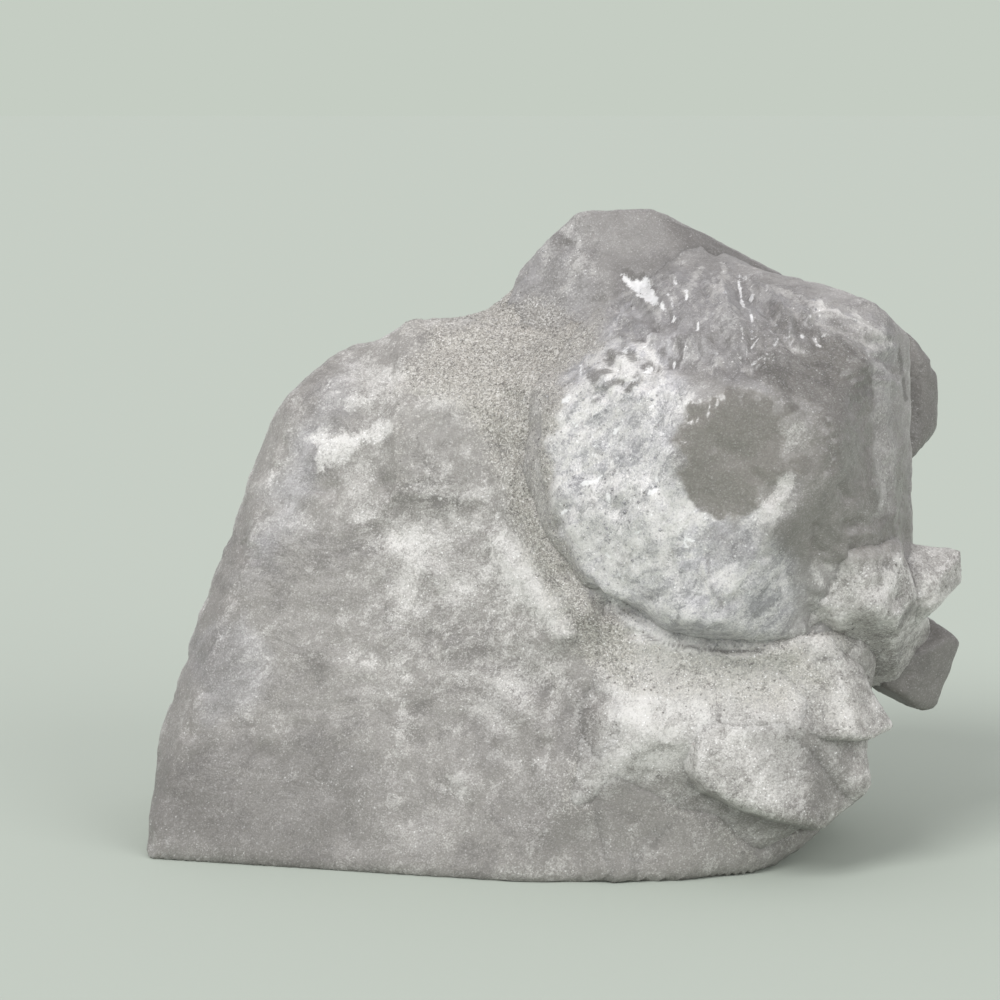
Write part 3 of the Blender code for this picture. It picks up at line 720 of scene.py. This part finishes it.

# Thin streaks, cracks and lines of painted shade: mark, amount, half width, (x, z) stops.
frontVeins = (
    # painted shade: the dark lines on this and the next two lines lie along creases, under the front
    # crystal's lower edge and where crystals meet at the lower right
    ("dark", 0.8, 0.35, ((14, 45), (20, 43), (30, 42), (38, 42))),
    ("dark", 0.6, 0.3, ((6, 51), (11, 47), (14, 45))), ("dark", 0.7, 0.35, ((45.5, 40.3), (52, 40.5))),
    ("dark", 0.6, 0.3, ((48, 27), (47.2, 32), (44, 36))),
    ("white", 0.6, 0.4, ((25, 60), (26, 55), (28, 51))),
    ("dark", 0.4, 0.35, ((26, 60), (27, 55), (29, 51))), ("white", 0.5, 0.5, ((8, 56), (14, 54), (22, 50))),
    ("white", 0.5, 0.5, ((10, 52), (17, 50), (24, 51))),
    ("white", 0.5, 0.4, ((40, 73), (37, 66), (33, 57))), ("dark", 0.8, 0.4, ((61, 95), (62, 89), (63, 84))),
    ("white", 0.8, 0.6, ((38, 105), (46, 102), (55, 98), (60, 95))),
    ("white", 0.7, 0.4, ((40, 102), (48, 98), (56, 95))),
    ("white", 0.9, 0.8, ((23, 103), (26, 106), (28, 108))),
    ("white", 0.9, 0.7, ((29, 102), (31, 106), (32, 108))),
    ("white", 0.6, 0.5, ((33, 99), (36, 94), (38, 88))),
    ("white", 0.5, 0.35, ((22, 82), (30, 80), (36, 83))),
    ("white", 0.4, 0.3, ((26, 72), (31, 77), (33, 84))),
)

# Broken, faceted relief: note, height, softness, (x, z) corners, facet width and height, turn, and the
# marks of the facets whose tone lies above the first of two values, in full from the second.
brokenZones = (
    ("broken edge", 1.3, 1.5, brokenEdge, (3.6, 6.5), -24, (("white", 0.55, 1.3), ("dark", 0.42, -0.3))),
    ("side block", 0.8, 1.5, ((44, 66), (60, 66), (61, 46), (44, 46)), (4.5, 6.0),
        20, (("white", 0.5, 1.2), ("dark", 0.4, -0.4))),
    ("top right", 0.6, 2.0, ((44, 104), (46, 92), (60, 88), (61, 97)), (4, 12.0), 60, ()),
    ("frosted face", 0.24, 2.0, frostedFace, (4.0, 6.0), -30, (("white", 0.5, 1.0), ("dark", 0.3, -0.6))),
    ("low face", 0.3, 3.0, lowFace, (7.0, 9.0), 40, (("white", 0.5, 1.4), ("dark", 0.35, -0.8))),
    ("right face", 0.35, 3.0, rightFace, (8.0, 12.0), 20, ()),
    ("top end", 0.5, 1.5, topEnd, (5.0, 8.0), 10, (("white", 0.5, 1.2), ("dark", 0.42, -0.3))),
    ("whole front", 0.25, 3.0, ((-80, 0), (80, 0), (80, 120), (-80, 120)), (9.0, 11.0), 15, ()),
)

# Many short streaks in a zone: mark, amount, count, (x, z) corners, slope from the level in degrees,
# its spread, lengths, half widths.
streakZones = (
    ("white", 0.65, 40, brokenEdge, 62, 24, (1.5, 5.5), (0.25, 0.6)),
    # painted glints: short white highlights on the broken edge
    ("bright", 0.8, 24, brokenEdge, 58, 30, (0.8, 2.8), (0.22, 0.45)),
    ("dark", 0.4, 14, brokenEdge, 60, 35, (1.5, 4.5), (0.25, 0.6)),
    ("white", 0.5, 34, upperRight, -32, 14, (3, 10), (0.25, 0.6)),
    ("dark", 0.5, 26, upperRight, -32, 18, (3, 8), (0.25, 0.6)),
    ("white", 0.6, 40, frostedFace, 50, 35, (1.5, 5), (0.4, 1.1)),
    # painted glints on the frosted face
    ("bright", 0.8, 48, frostedFace, 45, 40, (0.8, 2.6), (0.22, 0.5)),
    # dark dashes over the pitted top of the frosted face: painted shade of its small pits
    ("dark", 0.95, 26, ((7, 86), (8, 94), (14, 97), (22, 95), (22, 88), (14, 85)), 30, 25, (1.0, 2.8),
        (0.35, 0.8)),
    ("dark", 0.35, 20, frostedFace, 40, 40, (0.8, 2.5), (0.3, 0.7)),
    ("white", 0.4, 34, lowFace, 38, 18, (3, 9), (0.25, 0.7)),
    ("dark", 0.35, 20, lowFace, 40, 20, (2, 7), (0.25, 0.6)),
    ("white", 0.3, 20, rightFace, 55, 25, (2, 6), (0.25, 0.5)),
    ("dark", 0.25, 16, rightFace, 75, 25, (2, 7), (0.3, 0.7)),
    ("white", 0.4, 16, windowFace, 30, 50, (1, 4), (0.2, 0.4)),
    ("white", 0.3, 60, ((-62, 30), (-46, 66), (-34, 86), (-10, 84), (-4, 46), (4, 30), (-20, 12),
        (-60, 12)), -28, 35, (2.5, 9), (0.6, 1.8)),
    ("white", 0.5, 50, ((-24, 95), (4, 100), (6, 84), (-2, 60), (6, 44), (-4, 44), (-14, 66)),
        0, 60, (0.6, 1.8), (0.3, 0.7)),
    # painted glints: small white specks on the left crystal
    ("bright", 0.5, 36, ((-62, 14), (-46, 66), (-34, 88), (0, 98), (6, 30), (-10, 10)),
        0, 60, (0.5, 1.4), (0.2, 0.4)),
    ("dark", 0.3, 44, ((-66, 6), (-58, 40), (-40, 64), (-16, 50), (0, 20), (0, 4)), -15, 40, (3, 9),
        (0.8, 2.2)),
    ("white", 0.35, 30, ((-30, 24), (10, 26), (40, 14), (30, 2), (-30, 3)), 8, 25, (4, 12), (0.6, 1.6)),
    ("white", 0.5, 8, topEnd, 60, 30, (2, 5), (0.3, 0.7)),
)

# Ridges and grooves: (x, z) stops, half width, height.
frontRidges = (
    (((-13, 62), (-5, 52), (4, 41)), 1.8, 0.9), (((-46, 72), (-36, 75), (-26, 79)), 2.6, 0.6),
    (((-31, 57), (-24, 54), (-18, 51)), 1.8, 0.5), (((-20, 19), (-12, 15)), 1.6, 0.6),
    (((-28, 28), (-27, 21), (-24, 20)), 1.4, 0.5), (((-4, 33), (-6, 28), (-11, 24)), 1.6, 0.5),
    (((25, 60), (27, 55), (28, 51)), 0.5, 0.6), (((40, 73), (37, 68), (34, 58)), 1.2, 0.8),
    (((57, 96), (57, 84), (58, 74)), 1.4, 0.7), (((6, 51), (14, 45), (30, 42), (38, 42)), 0.7, -0.8),
)

# Pits: x, z, half width, depth.
frontPits = (
    (-41, 67, 2.2, 0.7), (-56, 55, 2.6, 0.6), (-30, 68, 1.6, 0.6), (-52, 20, 2.0, 0.6),
    (10.1, 91.4, 1.6, 1.0), (12.2, 88.8, 1.2, 0.8), (8.8, 86.8, 1.3, 0.8), (16.4, 89.1, 1.4, 1.0),
    (17.3, 91.5, 1.1, 0.8), (7.9, 72.3, 1.4, 0.7), (23.6, 98.1, 1.5, 0.8), (28.6, 96.7, 1.6, 0.8),
)

clusterCrystals = {
    "leftCrystal": leftCrystal, "frontCrystal": frontCrystal, "topCrystal": topCrystal, "saddle": saddle,
    "backRightCrystal": backRightCrystal, "sideBlock": sideBlock, "upperSideTip": upperSideTip,
    "lowerSideTip": lowerSideTip, "smallSideTip": smallSideTip, "lowerRightPlate": lowerRightPlate,
    "rightFoot": rightFoot, "sandyLedge": sandyLedge,
}


# Each tip: root, radius, length, leaning right by, leaning back by, spin.
backBundle = {
    "cells": 52, "leastCells": 0.55, "usualRadius": 15, "rounding": 0.7, "endTilt": 38.2,
    "smallEndSetback": 0.22, "taper": 3.0, "centreAt": 0.2, "lowestCentre": 2.0,
    "rootSand": 0.7, "veil": 0.3, "clearEnd": 0.5,
    "tips": (
        ((-46, 16, 8), 15.0, 46.0, -9, 16, 12), ((-22, 22, 14), 17.0, 56.0, -3, 14, 38),
        ((6, 22, 10), 16.0, 50.0, 4, 19, 5), ((30, 16, 12), 14.0, 42.0, 12, 22, 50),
        ((22, 18, 58), 14.0, 34.0, 3, 15, 20), ((40, 8, 50), 11.0, 27.0, 24, 34, 32),
        ((-6, 22, 66), 9.0, 24.0, -12, 30, 8), ((-34, 26, 30), 8.0, 22.0, -20, 52, 44),
        ((10, 31, 34), 7.0, 18.0, 10, 62, 28), ((44, 20, 24), 7.5, 18.0, 44, 40, 14),
        ((28, 30, 70), 5.5, 13.0, 26, 58, 36),
    ),
}


def leanMatrix(right, back, spin):
    # Spin about the upright axis, then lean back about X, then lean right about Y.
    r, b, s = np.radians((right, -back, spin))
    spun = np.array([[math.cos(s), -math.sin(s), 0], [math.sin(s), math.cos(s), 0], [0, 0, 1]])
    backed = np.array([[1, 0, 0], [0, math.cos(b), -math.sin(b)], [0, math.sin(b), math.cos(b)]])
    righted = np.array([[math.cos(r), 0, math.sin(r)], [0, 1, 0], [-math.sin(r), 0, math.cos(r)]])
    return righted @ backed @ spun


def sixSidedCrystal(tip):
    # Six sides that close in a little towards the end, and six end faces, every second one set back.
    # Returns the root, the lean, and the faces' outward directions and distances from the root.
    root, radius, length = np.array(tip[0], dtype=float), tip[1], tip[2]
    lean = leanMatrix(*tip[3:])
    around = np.arange(6) * 60 + 30
    sides = faceDirections(around, np.full(6, backBundle["taper"])) @ lean.T
    ends = faceDirections(around, np.full(6, backBundle["endTilt"])) @ lean.T
    flat = radius * math.cos(math.pi / 6)
    setback = backBundle["smallEndSetback"] * radius * (np.arange(6) % 2)
    endAway = length * math.sin(math.radians(backBundle["endTilt"])) + setback
    outward = np.vstack([sides, ends, [-lean[:, 2]]])
    return root, lean, outward, np.concatenate([np.full(6, flat), endAway, [length]])


def growBundle(material):
    # Each crystal is measured from a centre a little up its axis, over a ball drawn out to its length.
    # Sand lies towards the root, white in clouds, and the end is clearer.
    allPoints, allFaces, allMarks, start = [], [], {mark: [] for mark in markNames}, 0
    for number, tip in enumerate(backBundle["tips"]):
        radius, length = tip[1], tip[2]
        root, lean, outward, away = sixSidedCrystal(tip)
        centre = root + lean[:, 2] * length * backBundle["centreAt"]
        centre[2] = max(centre[2], backBundle["lowestCentre"])
        away = away - outward @ (centre - root)
        outward, away = np.vstack([outward, [(0, 0, -1)]]), np.append(away, centre[2])
        fineness = max(backBundle["leastCells"], (radius / backBundle["usualRadius"])**0.5)
        ball, faces = ballGrid(int(backBundle["cells"] * fineness))
        directions = (ball * (radius, radius, length)) @ lean.T
        points, normals, share = wrapFaces(centre, directions, outward, away, backBundle["rounding"])
        marks = {mark: np.zeros(len(points)) for mark in markNames}
        upward = (points - root) @ lean[:, 2] / length
        marks["sand"] = backBundle["rootSand"] * ease(0.4, -0.2, upward)
        marks["white"] = backBundle["veil"] * ease(-0.2, 0.8, cloudNoise(points, 18, 3, number))
        marks["clear"] = backBundle["clearEnd"] * ease(0.7, 1.0, upward)
        allPoints.append(crystalRelief(smallRelief, points, normals, share, marks))
        allFaces.append(faces + start)
        for mark in markNames:
            allMarks[mark].append(marks[mark])
        start += len(points)
    marks = {mark: np.concatenate(values) for mark, values in allMarks.items()}
    return newPiece("backBundle", np.concatenate(allPoints), np.concatenate(allFaces), material, marks)


def axisFrames(axes, spin):
    # For each axis a matrix whose third column is the axis, the other two turned about it by the spin.
    axes = unit(axes)
    helper = np.where(np.abs(axes[:, 2:]) < 0.9, (0.0, 0.0, 1.0), (1.0, 0.0, 0.0))
    across = unit(np.cross(helper, axes))
    other = np.cross(axes, across)
    cosine, sine = np.cos(spin)[:, None], np.sin(spin)[:, None]
    return np.stack([across * cosine + other * sine, other * cosine - across * sine, axes], axis=2)


def doublePyramids(places, frames, spread, width, heights):
    # Many shapes at once: a ring of corners, each at the shape's width times its own spread, and a fan
    # from the ring to either end. heights are those of the low end, the ring and the high end.
    count, corners = spread.shape
    angle = np.arange(corners) * 2 * math.pi / corners
    reach = width[:, None] * spread
    shape = np.zeros((count, corners + 2, 3))
    shape[:, :-2, 0] = reach * np.cos(angle)
    shape[:, :-2, 1] = reach * np.sin(angle)
    shape[:, :-2, 2] = heights[:, 1, None]
    shape[:, -2:, 2] = heights[:, (0, 2)]
    points = np.einsum("nij,nkj->nki", frames, shape) + places[:, None, :]
    ring = np.arange(corners)
    onward = np.roll(ring, -1)
    low, high = np.full(corners, corners), np.full(corners, corners + 1)
    faces = np.concatenate([np.stack([low, onward, ring], axis=1), np.stack([ring, onward, high], axis=1)])
    faces = faces[None] + np.arange(count)[:, None, None] * (corners + 2)
    return points.reshape(-1, 3), faces.reshape(-1, 3)


def scatterOn(count, draw, weigh):
    # Random spots on the crystals' skins, more where weigh says, none where another crystal covers them.
    places, normals, chances = [], [], []
    for name, row in crystalRows.items():
        corner, first = row["points"][row["faces"]], row["faces"][:, 0]
        across = np.cross(corner[:, 2] - corner[:, 0], corner[:, 3] - corner[:, 1])
        area = np.linalg.norm(across, axis=1) / 2
        bare = buried(corner.mean(axis=1), name) < 0.1
        places.append(corner)
        normals.append(row["normals"][first])
        chances.append(area * weigh(row["marks"], first) * bare)
    places, normals, chances = (np.concatenate(rows) for rows in (places, normals, chances))
    chosen = draw.choice(len(chances), count, p=chances / chances.sum())
    u, v = draw.random((2, count, 1))
    corner = places[chosen]
    near = corner[:, 0] * (1 - u) + corner[:, 1] * u
    far = corner[:, 3] * (1 - u) + corner[:, 2] * u
    return near * (1 - v) + far * v, normals[chosen]


grainShape = {
    "corners": 5, "sunk": 0.15, "mostlySmall": 2.2, "uneven": (0.75, 1.15), "stretch": (0.8, 1.5),
    "width": 0.5, "heights": (-0.5, 0.1, 0.55), "lift": 0.9,
}
sandGrains = {"count": 12000, "size": (0.2, 0.6), "flat": 0.5}
frostGrains = {"count": 350, "size": (0.35, 0.9), "flat": 0.2}


def sandWeight(marks, first):
    # The sand mark to the power 1.5.
    return marks["sand"][first]**1.5


def frostWeight(marks, first):
    # The square of how white, how cool and how far from clear the skin is, multiplied.
    return (marks["white"] * marks["cool"] * (1 - marks["clear"]))[first]**2


def growGrains(name, grains, weigh, marks, material, draw):
    # Double pyramids, most of them small, each on its own axis, half sunk in the skin. Each has one value
    # of every mark.
    count, (least, most) = grains["count"], grains["size"]
    spots, normals = scatterOn(count, draw, weigh)
    size = least + (most - least) * draw.random(count)**grainShape["mostlySmall"]
    axes = draw.normal(size=(count, 3)) + normals * grains["flat"]
    frames = axisFrames(axes, draw.random(count) * 6.3)
    spread = draw.uniform(*grainShape["uneven"], (count, grainShape["corners"]))
    stretch = draw.uniform(*grainShape["stretch"], count)
    heights = np.stack([height * size * stretch for height in grainShape["heights"]], axis=1)
    places = spots - normals * (grainShape["sunk"] * size)[:, None]
    places[:, 2] = np.maximum(places[:, 2], size * grainShape["lift"])
    points, faces = doublePyramids(places, frames, spread, size * grainShape["width"], heights)
    each = grainShape["corners"] + 2
    full = {mark: np.repeat(np.broadcast_to(marks.get(mark, 0.0), count), each) for mark in markNames}
    return newPiece(name, points, faces, material, full, smooth=False)


class Wire:
    # One output of a node; arithmetic on it adds Math nodes to its material.
    def __init__(self, bench, socket):
        self.bench, self.socket = bench, socket

    def maths(self, operation, *values):
        # one Math node on the values, in their order
        return self.bench.node("ShaderNodeMath", {"operation": operation}, dict(enumerate(values)))

    def __add__(self, other):
        return self.maths("ADD", self, other)

    def __sub__(self, other):
        return self.maths("SUBTRACT", self, other)

    def __mul__(self, other):
        return self.maths("MULTIPLY", self, other)

    def __radd__(self, other):
        return self.maths("ADD", other, self)

    def __rsub__(self, other):
        return self.maths("SUBTRACT", other, self)

    def __rmul__(self, other):
        return self.maths("MULTIPLY", other, self)

    def between(self, low, high):
        # 0 at low, 1 at high, eased and clamped
        settings = {"interpolation_type": "SMOOTHSTEP"}
        return self.bench.node("ShaderNodeMapRange", settings, {0: self, 1: low, 2: high})


class Bench:
    # Makes one material; every node is added by node().
    def __init__(self, name):
        self.material = bpy.data.materials.new(name)
        self.material.use_nodes = True
        self.tree = self.material.node_tree
        self.tree.nodes.clear()

    def node(self, kind, settings=None, inputs=None, output=0):
        # inputs are numbers, colours or wires; the node's output of that number comes back as a wire
        made = self.tree.nodes.new(kind)
        for key, value in (settings or {}).items():
            setattr(made, key, value)
        for key, value in (inputs or {}).items():
            if isinstance(value, Wire):
                self.tree.links.new(value.socket, made.inputs[key])
            else:
                made.inputs[key].default_value = value
        return made if output is None else Wire(self, made.outputs[output])

    def vectors(self, operation, first, second):
        # a sum or difference of two vectors, or the first one times a number
        key = "Scale" if operation == "SCALE" else 1
        return self.node("ShaderNodeVectorMath", {"operation": operation}, {0: first, key: second})

    def mixColour(self, factor, first, second):
        # the first colour at factor 0, the second at 1
        return self.node("ShaderNodeMix", {"data_type": "RGBA"}, {0: factor, 6: first, 7: second}, 2)

    def noise(self, place, size, detail, roughness, output=0):
        # size is the width of the largest lumps, in millimetres; output 0 is grey, 1 is a colour
        inputs = {"Vector": place, "Scale": 1 / (size * mm), "Detail": detail, "Roughness": roughness}
        return self.node("ShaderNodeTexNoise", {}, inputs, output)

    def cells(self, place, size):
        # random colour of each cell of a crumbled pattern; size is a cell's width in millimetres
        inputs = {"Vector": place, "Scale": 1 / (size * mm)}
        return self.node("ShaderNodeTexVoronoi", {"feature": "F1"}, inputs, 1)

    def laid(self, place, turn, stretch):
        # the place with its lumps drawn out along a line turned up from the level, in degrees
        inputs = {"Vector": place, "Rotation": (0, math.radians(-turn), 0), "Scale": (stretch, 1, 1)}
        return self.node("ShaderNodeMapping", {"vector_type": "TEXTURE"}, inputs)

    def mark(self, name):
        # one of the mesh's marks
        return self.node("ShaderNodeAttribute", {"attribute_name": name}, {}, 2)

    def finish(self, surface, volume=None):
        # joins the shaders to the material's output
        inputs = {"Surface": surface}
        if volume:
            inputs["Volume"] = volume
        self.node("ShaderNodeOutputMaterial", {}, inputs, None)
        return self.material


def shade(red, green, blue):
    # A colour as screens give it, 0 to 255, as the linear colour a shader takes.
    levels = np.array((red, green, blue)) / 255
    return (*np.where(levels <= 0.04045, levels / 12.92, ((levels + 0.055) / 1.055)**2.4), 1.0)


quartzLook = {
    "deepGrey": shade(124, 121, 118), "midGrey": shade(147, 144, 140), "paleGrey": shade(170, 167, 163),
    "coolGrey": shade(163, 163, 168), "coolWhite": shade(209, 208, 215), "milk": shade(221, 219, 216),
    "glaze": shade(166, 162, 155), "spark": shade(246, 246, 246), "sandPale": shade(192, 188, 180),
    "sandDeep": shade(124, 120, 113), "shadow": shade(96, 93, 90), "glass": shade(240, 239, 236),
    "ior": 1.544, "grit": 0.12, "bump": 0.4, "bumpDepth": 0.0006, "milkiness": 0.45, "milkDepth": 0.003,
    "glassRoughness": 0.12, "glassShare": 0.4, "absorbed": shade(214, 208, 200), "density": 14.0,
}


def quartzMaterial(name):
    # Colours laid over each other, each where its mark and the noise add up to enough: grey, frost, milk,
    # sand, glaze, shadow (partly the quartz's own darker tone, partly painted shade), and sparks and glints
    # that are painted highlights. The frosted surface is mixed with plain glass where the mark is clear.
    look = quartzLook
    bench = Bench(name)
    place = bench.node("ShaderNodeTexCoord", output=3)
    drift = bench.vectors("SCALE", bench.noise(place, 14, 1, 0.5, output=1), 0.010)
    bent = bench.vectors("ADD", place, drift)
    sand, white, cool = bench.mark("sand"), bench.mark("white"), bench.mark("cool")
    clear, dark, bright = bench.mark("clear"), bench.mark("dark"), bench.mark("bright")

    cloud = bench.noise(bent, 15, 3, 0.7)
    fluff = bench.noise(bench.laid(bent, -8, 1.9), 2.8, 3, 0.72)
    feather = bench.noise(bench.laid(bent, 42, 3.0), 2.2, 3, 0.74)
    fleck = bench.noise(place, 0.7, 2, 0.85)
    sugar = bench.cells(place, 0.22)
    crumple = bench.vectors("SCALE", bench.noise(place, 1.4, 1, 0.6, output=1), 0.0022)
    flakes = bench.cells(bench.laid(bench.vectors("ADD", bent, crumple), 42, 2.2), 1.5)
    flake = bench.node("ShaderNodeSeparateColor", {}, {0: flakes}) - 0.5
    tone = bench.node("ShaderNodeSeparateColor", {}, {0: sugar})

    # cottony grey: slow clouds, small fluff and the sugar of tiny faces
    mottle = cloud * 0.58 + fluff * 0.27 + fleck * 0.15
    fine = mottle + (tone - 0.5) * 0.06 + flake * 0.03
    grey = bench.mixColour(fine.between(0.36, 0.50), look["deepGrey"], look["midGrey"])
    grey = bench.mixColour(fine.between(0.50, 0.64), grey, look["paleGrey"])
    feathered = (fine * 0.45 + feather * 0.55 + flake * 0.11).between(0.36, 0.60)
    frost = bench.mixColour(feathered, look["coolGrey"], look["coolWhite"])
    grey = bench.mixColour(cool * 0.8, grey, frost)

    # white veils, ragged and grainy at their edges
    milk = white + (mottle - 0.5) * 1.5 + (feather - 0.5) * cool * 1.6
    milk = milk + flake * 0.3 + (fleck - 0.5) * 0.5 + (tone - 0.5) * 0.3
    milk = milk.between(0.15, 1.15)
    grey = bench.mixColour(milk * 0.9, grey, look["milk"])

    # sandy crust: pale grains and a few dark ones
    paleness = (tone * 0.5 + fleck * 0.5 + mottle * 0.5).between(0.35, 1.05)
    grains = bench.mixColour(paleness, look["sandDeep"], look["sandPale"])
    crust = (sand + (fleck - 0.5) * 0.6 + (mottle - 0.5) * 1.2 + (tone - 0.5) * 0.3).between(0.25, 0.95)
    surface = bench.mixColour(crust * 0.8, grey, grains)

    # clear and dark places, the dark partly own darker tone and partly painted shade; then grit, and painted
    # sparkle highlights
    glazed = (clear + (mottle - 0.5) * 0.7).between(0.15, 0.85)
    surface = bench.mixColour(glazed * 0.8, surface, look["glaze"])
    shadowed = (dark + (mottle - 0.5) * 0.8).between(0.0, 1.0)
    surface = bench.mixColour(shadowed * 0.8, surface, look["shadow"])
    grit = (tone * 0.6 + fleck * 0.4) - 0.5
    gritty = crust * 0.35 + cool * 0.2 + glazed * 0.12 + look["grit"]
    surface = bench.mixColour(grit.between(0.04, 0.5) * gritty, surface, look["spark"])
    surface = bench.mixColour((grit * -1).between(0.0, 0.5) * gritty, surface, look["shadow"])
    # painted highlights: rare sugar cells turn near white as sparkles, and the bright mark as glints
    spark = tone.between(0.985, 0.992) * (0.1 + milk * 0.6)
    paintedGlint = (bright + (fleck - 0.5) * 0.8).between(0.3, 0.7) * 0.75
    surface = bench.mixColour(spark, surface, look["spark"])
    surface = bench.mixColour(paintedGlint, surface, look["spark"])

    # tiny faces tilt the surface each its own way; slower relief is a bump
    normal = bench.node("ShaderNodeNewGeometry", output=1)
    rough = (crust * 0.3 + cool * 0.2 + 0.2) * (1 - glazed * 0.9)
    tilt = bench.vectors("SCALE", bench.vectors("SUBTRACT", sugar, (0.5, 0.5, 0.5)), rough)
    lean = bench.vectors("SCALE", bench.vectors("SUBTRACT", flakes, (0.5, 0.5, 0.5)), cool * 0.34 + 0.1)
    faceted = bench.vectors("ADD", normal, bench.vectors("ADD", tilt, lean))
    faceted = bench.node("ShaderNodeVectorMath", {"operation": "NORMALIZE"}, {0: faceted})
    bump = bench.node("ShaderNodeBump", {}, {
        "Strength": look["bump"], "Distance": look["bumpDepth"], "Height": fluff * (1 - cool * 0.5),
        "Normal": faceted,
    })

    roughness = 0.5 - cool * 0.08 - (spark + paintedGlint) * 0.2 - glazed * 0.3
    frosted = bench.node("ShaderNodeBsdfPrincipled", {"subsurface_method": "BURLEY"}, {
        "Base Color": surface, "Roughness": roughness, "IOR": look["ior"], "Normal": bump,
        "Subsurface Weight": look["milkiness"], "Subsurface Scale": look["milkDepth"],
        "Subsurface Radius": (1.0, 0.95, 0.9),
    })
    clearGlass = bench.node("ShaderNodeBsdfPrincipled", {}, {
        "Base Color": look["glass"], "Roughness": look["glassRoughness"], "IOR": look["ior"],
        "Transmission Weight": 1.0, "Normal": bump,
    })
    both = bench.node("ShaderNodeMixShader", {}, {0: glazed * look["glassShare"], 1: frosted, 2: clearGlass})
    absorbing = {"Color": look["absorbed"], "Density": look["density"]}
    inner = bench.node("ShaderNodeVolumeAbsorption", {}, absorbing)
    print(f"{name}: {len(bench.tree.nodes)} nodes")
    return bench.finish(both, inner)


streakDraw = np.random.default_rng(3)
frontStreaks = [streak for zone in streakZones for streak in drawStreaks(zone, streakDraw)]
print(f"frontStreaks: {len(frontStreaks)} streaks")
quartz = quartzMaterial("frostedQuartz")
for crystalName, crystalSpec in clusterCrystals.items():
    growCrystal(crystalName, crystalSpec, quartz)
growBundle(quartz)

smallDraw = np.random.default_rng(12)
sandMarks = {
    "sand": smallDraw.uniform(0.2, 0.8, sandGrains["count"]),
    "white": 0.2 + 0.8 * smallDraw.random(sandGrains["count"])**2,
}
growGrains("sandGrains", sandGrains, sandWeight, sandMarks, quartz, smallDraw)
frostMarks = {
    "cool": smallDraw.uniform(0.5, 1.0, frostGrains["count"]),
    "white": smallDraw.uniform(0.2, 1.0, frostGrains["count"]),
}
growGrains("frostGrains", frostGrains, frostWeight, frostMarks, quartz, smallDraw)


stageLook = {"air": shade(197, 205, 195), "light": shade(218, 217, 219), "floor": 0.54, "floorSize": 60.0}
lampLook = {"key": (-36, 42, 1.65, 26), "fill": (48, 24, 0.75, 40)}      # turn, tilt, strength, angle
cameraLook = {"target": (-9.5, 0.0, 63.8), "distance": 520.0, "above": 8, "lens": 100, "sensor": 36}


def stageMaterial(name, colour):
    # A matt paint without gloss.
    bench = Bench(name)
    inputs = {"Base Color": colour, "Roughness": 1.0, "Specular IOR Level": 0.0}
    return bench.finish(bench.node("ShaderNodeBsdfPrincipled", {}, inputs))


def makeStage():
    # A wide floor in the air's hue, a room that the camera sees in one colour and that lights the cluster
    # in another, and two suns.
    size = stageLook["floorSize"]
    corners = np.array([(-1, -1, 0), (1, -1, 0), (1, 1, 0), (-1, 1, 0)]) * size
    mesh = bpy.data.meshes.new("floor")
    mesh.from_pydata(corners.tolist(), [], [(0, 1, 2, 3)])
    tone = np.array(stageLook["air"][:3])
    share = stageLook["floor"] / tone[1]
    mesh.materials.append(stageMaterial("paleFloor", (*(tone * share), 1)))
    floor = bpy.data.objects.new("floor", mesh)
    bpy.context.scene.collection.objects.link(floor)
    world = bpy.data.worlds.new("paleRoom")
    world.use_nodes = True
    nodes, links = world.node_tree.nodes, world.node_tree.links
    seen, lit = nodes["Background"], nodes.new("ShaderNodeBackground")
    seen.inputs["Color"].default_value = stageLook["air"]
    lit.inputs["Color"].default_value = stageLook["light"]
    chooser, ray = nodes.new("ShaderNodeMixShader"), nodes.new("ShaderNodeLightPath")
    links.new(ray.outputs["Is Camera Ray"], chooser.inputs[0])
    links.new(lit.outputs[0], chooser.inputs[1])
    links.new(seen.outputs[0], chooser.inputs[2])
    links.new(chooser.outputs[0], nodes["World Output"].inputs["Surface"])
    bpy.context.scene.world = world
    for name, (turn, tilt, strength, angle) in lampLook.items():
        sun = bpy.data.lights.new(name, "SUN")
        sun.energy, sun.angle = strength, math.radians(angle)
        lamp = bpy.data.objects.new(name, sun)
        lamp.rotation_euler = (math.radians(90 - tilt), 0, math.radians(turn))
        bpy.context.scene.collection.objects.link(lamp)
    print(f"stage: floor, room and {len(lampLook)} suns")


def makeCamera():
    # The camera looks at the target from the front, a little from above.
    above = math.radians(cameraLook["above"])
    back = cameraLook["distance"] * np.array((0, -math.cos(above), math.sin(above)))
    lens = bpy.data.cameras.new("camera")
    lens.lens, lens.sensor_width, lens.clip_start = cameraLook["lens"], cameraLook["sensor"], 0.01
    camera = bpy.data.objects.new("camera", lens)
    camera.location = (np.array(cameraLook["target"]) + back) * mm
    camera.rotation_euler = (math.radians(90) - above, 0, 0)
    bpy.context.scene.collection.objects.link(camera)
    bpy.context.scene.camera = camera


makeStage()
makeCamera()
bpy.context.scene.view_settings.view_transform = "Standard"
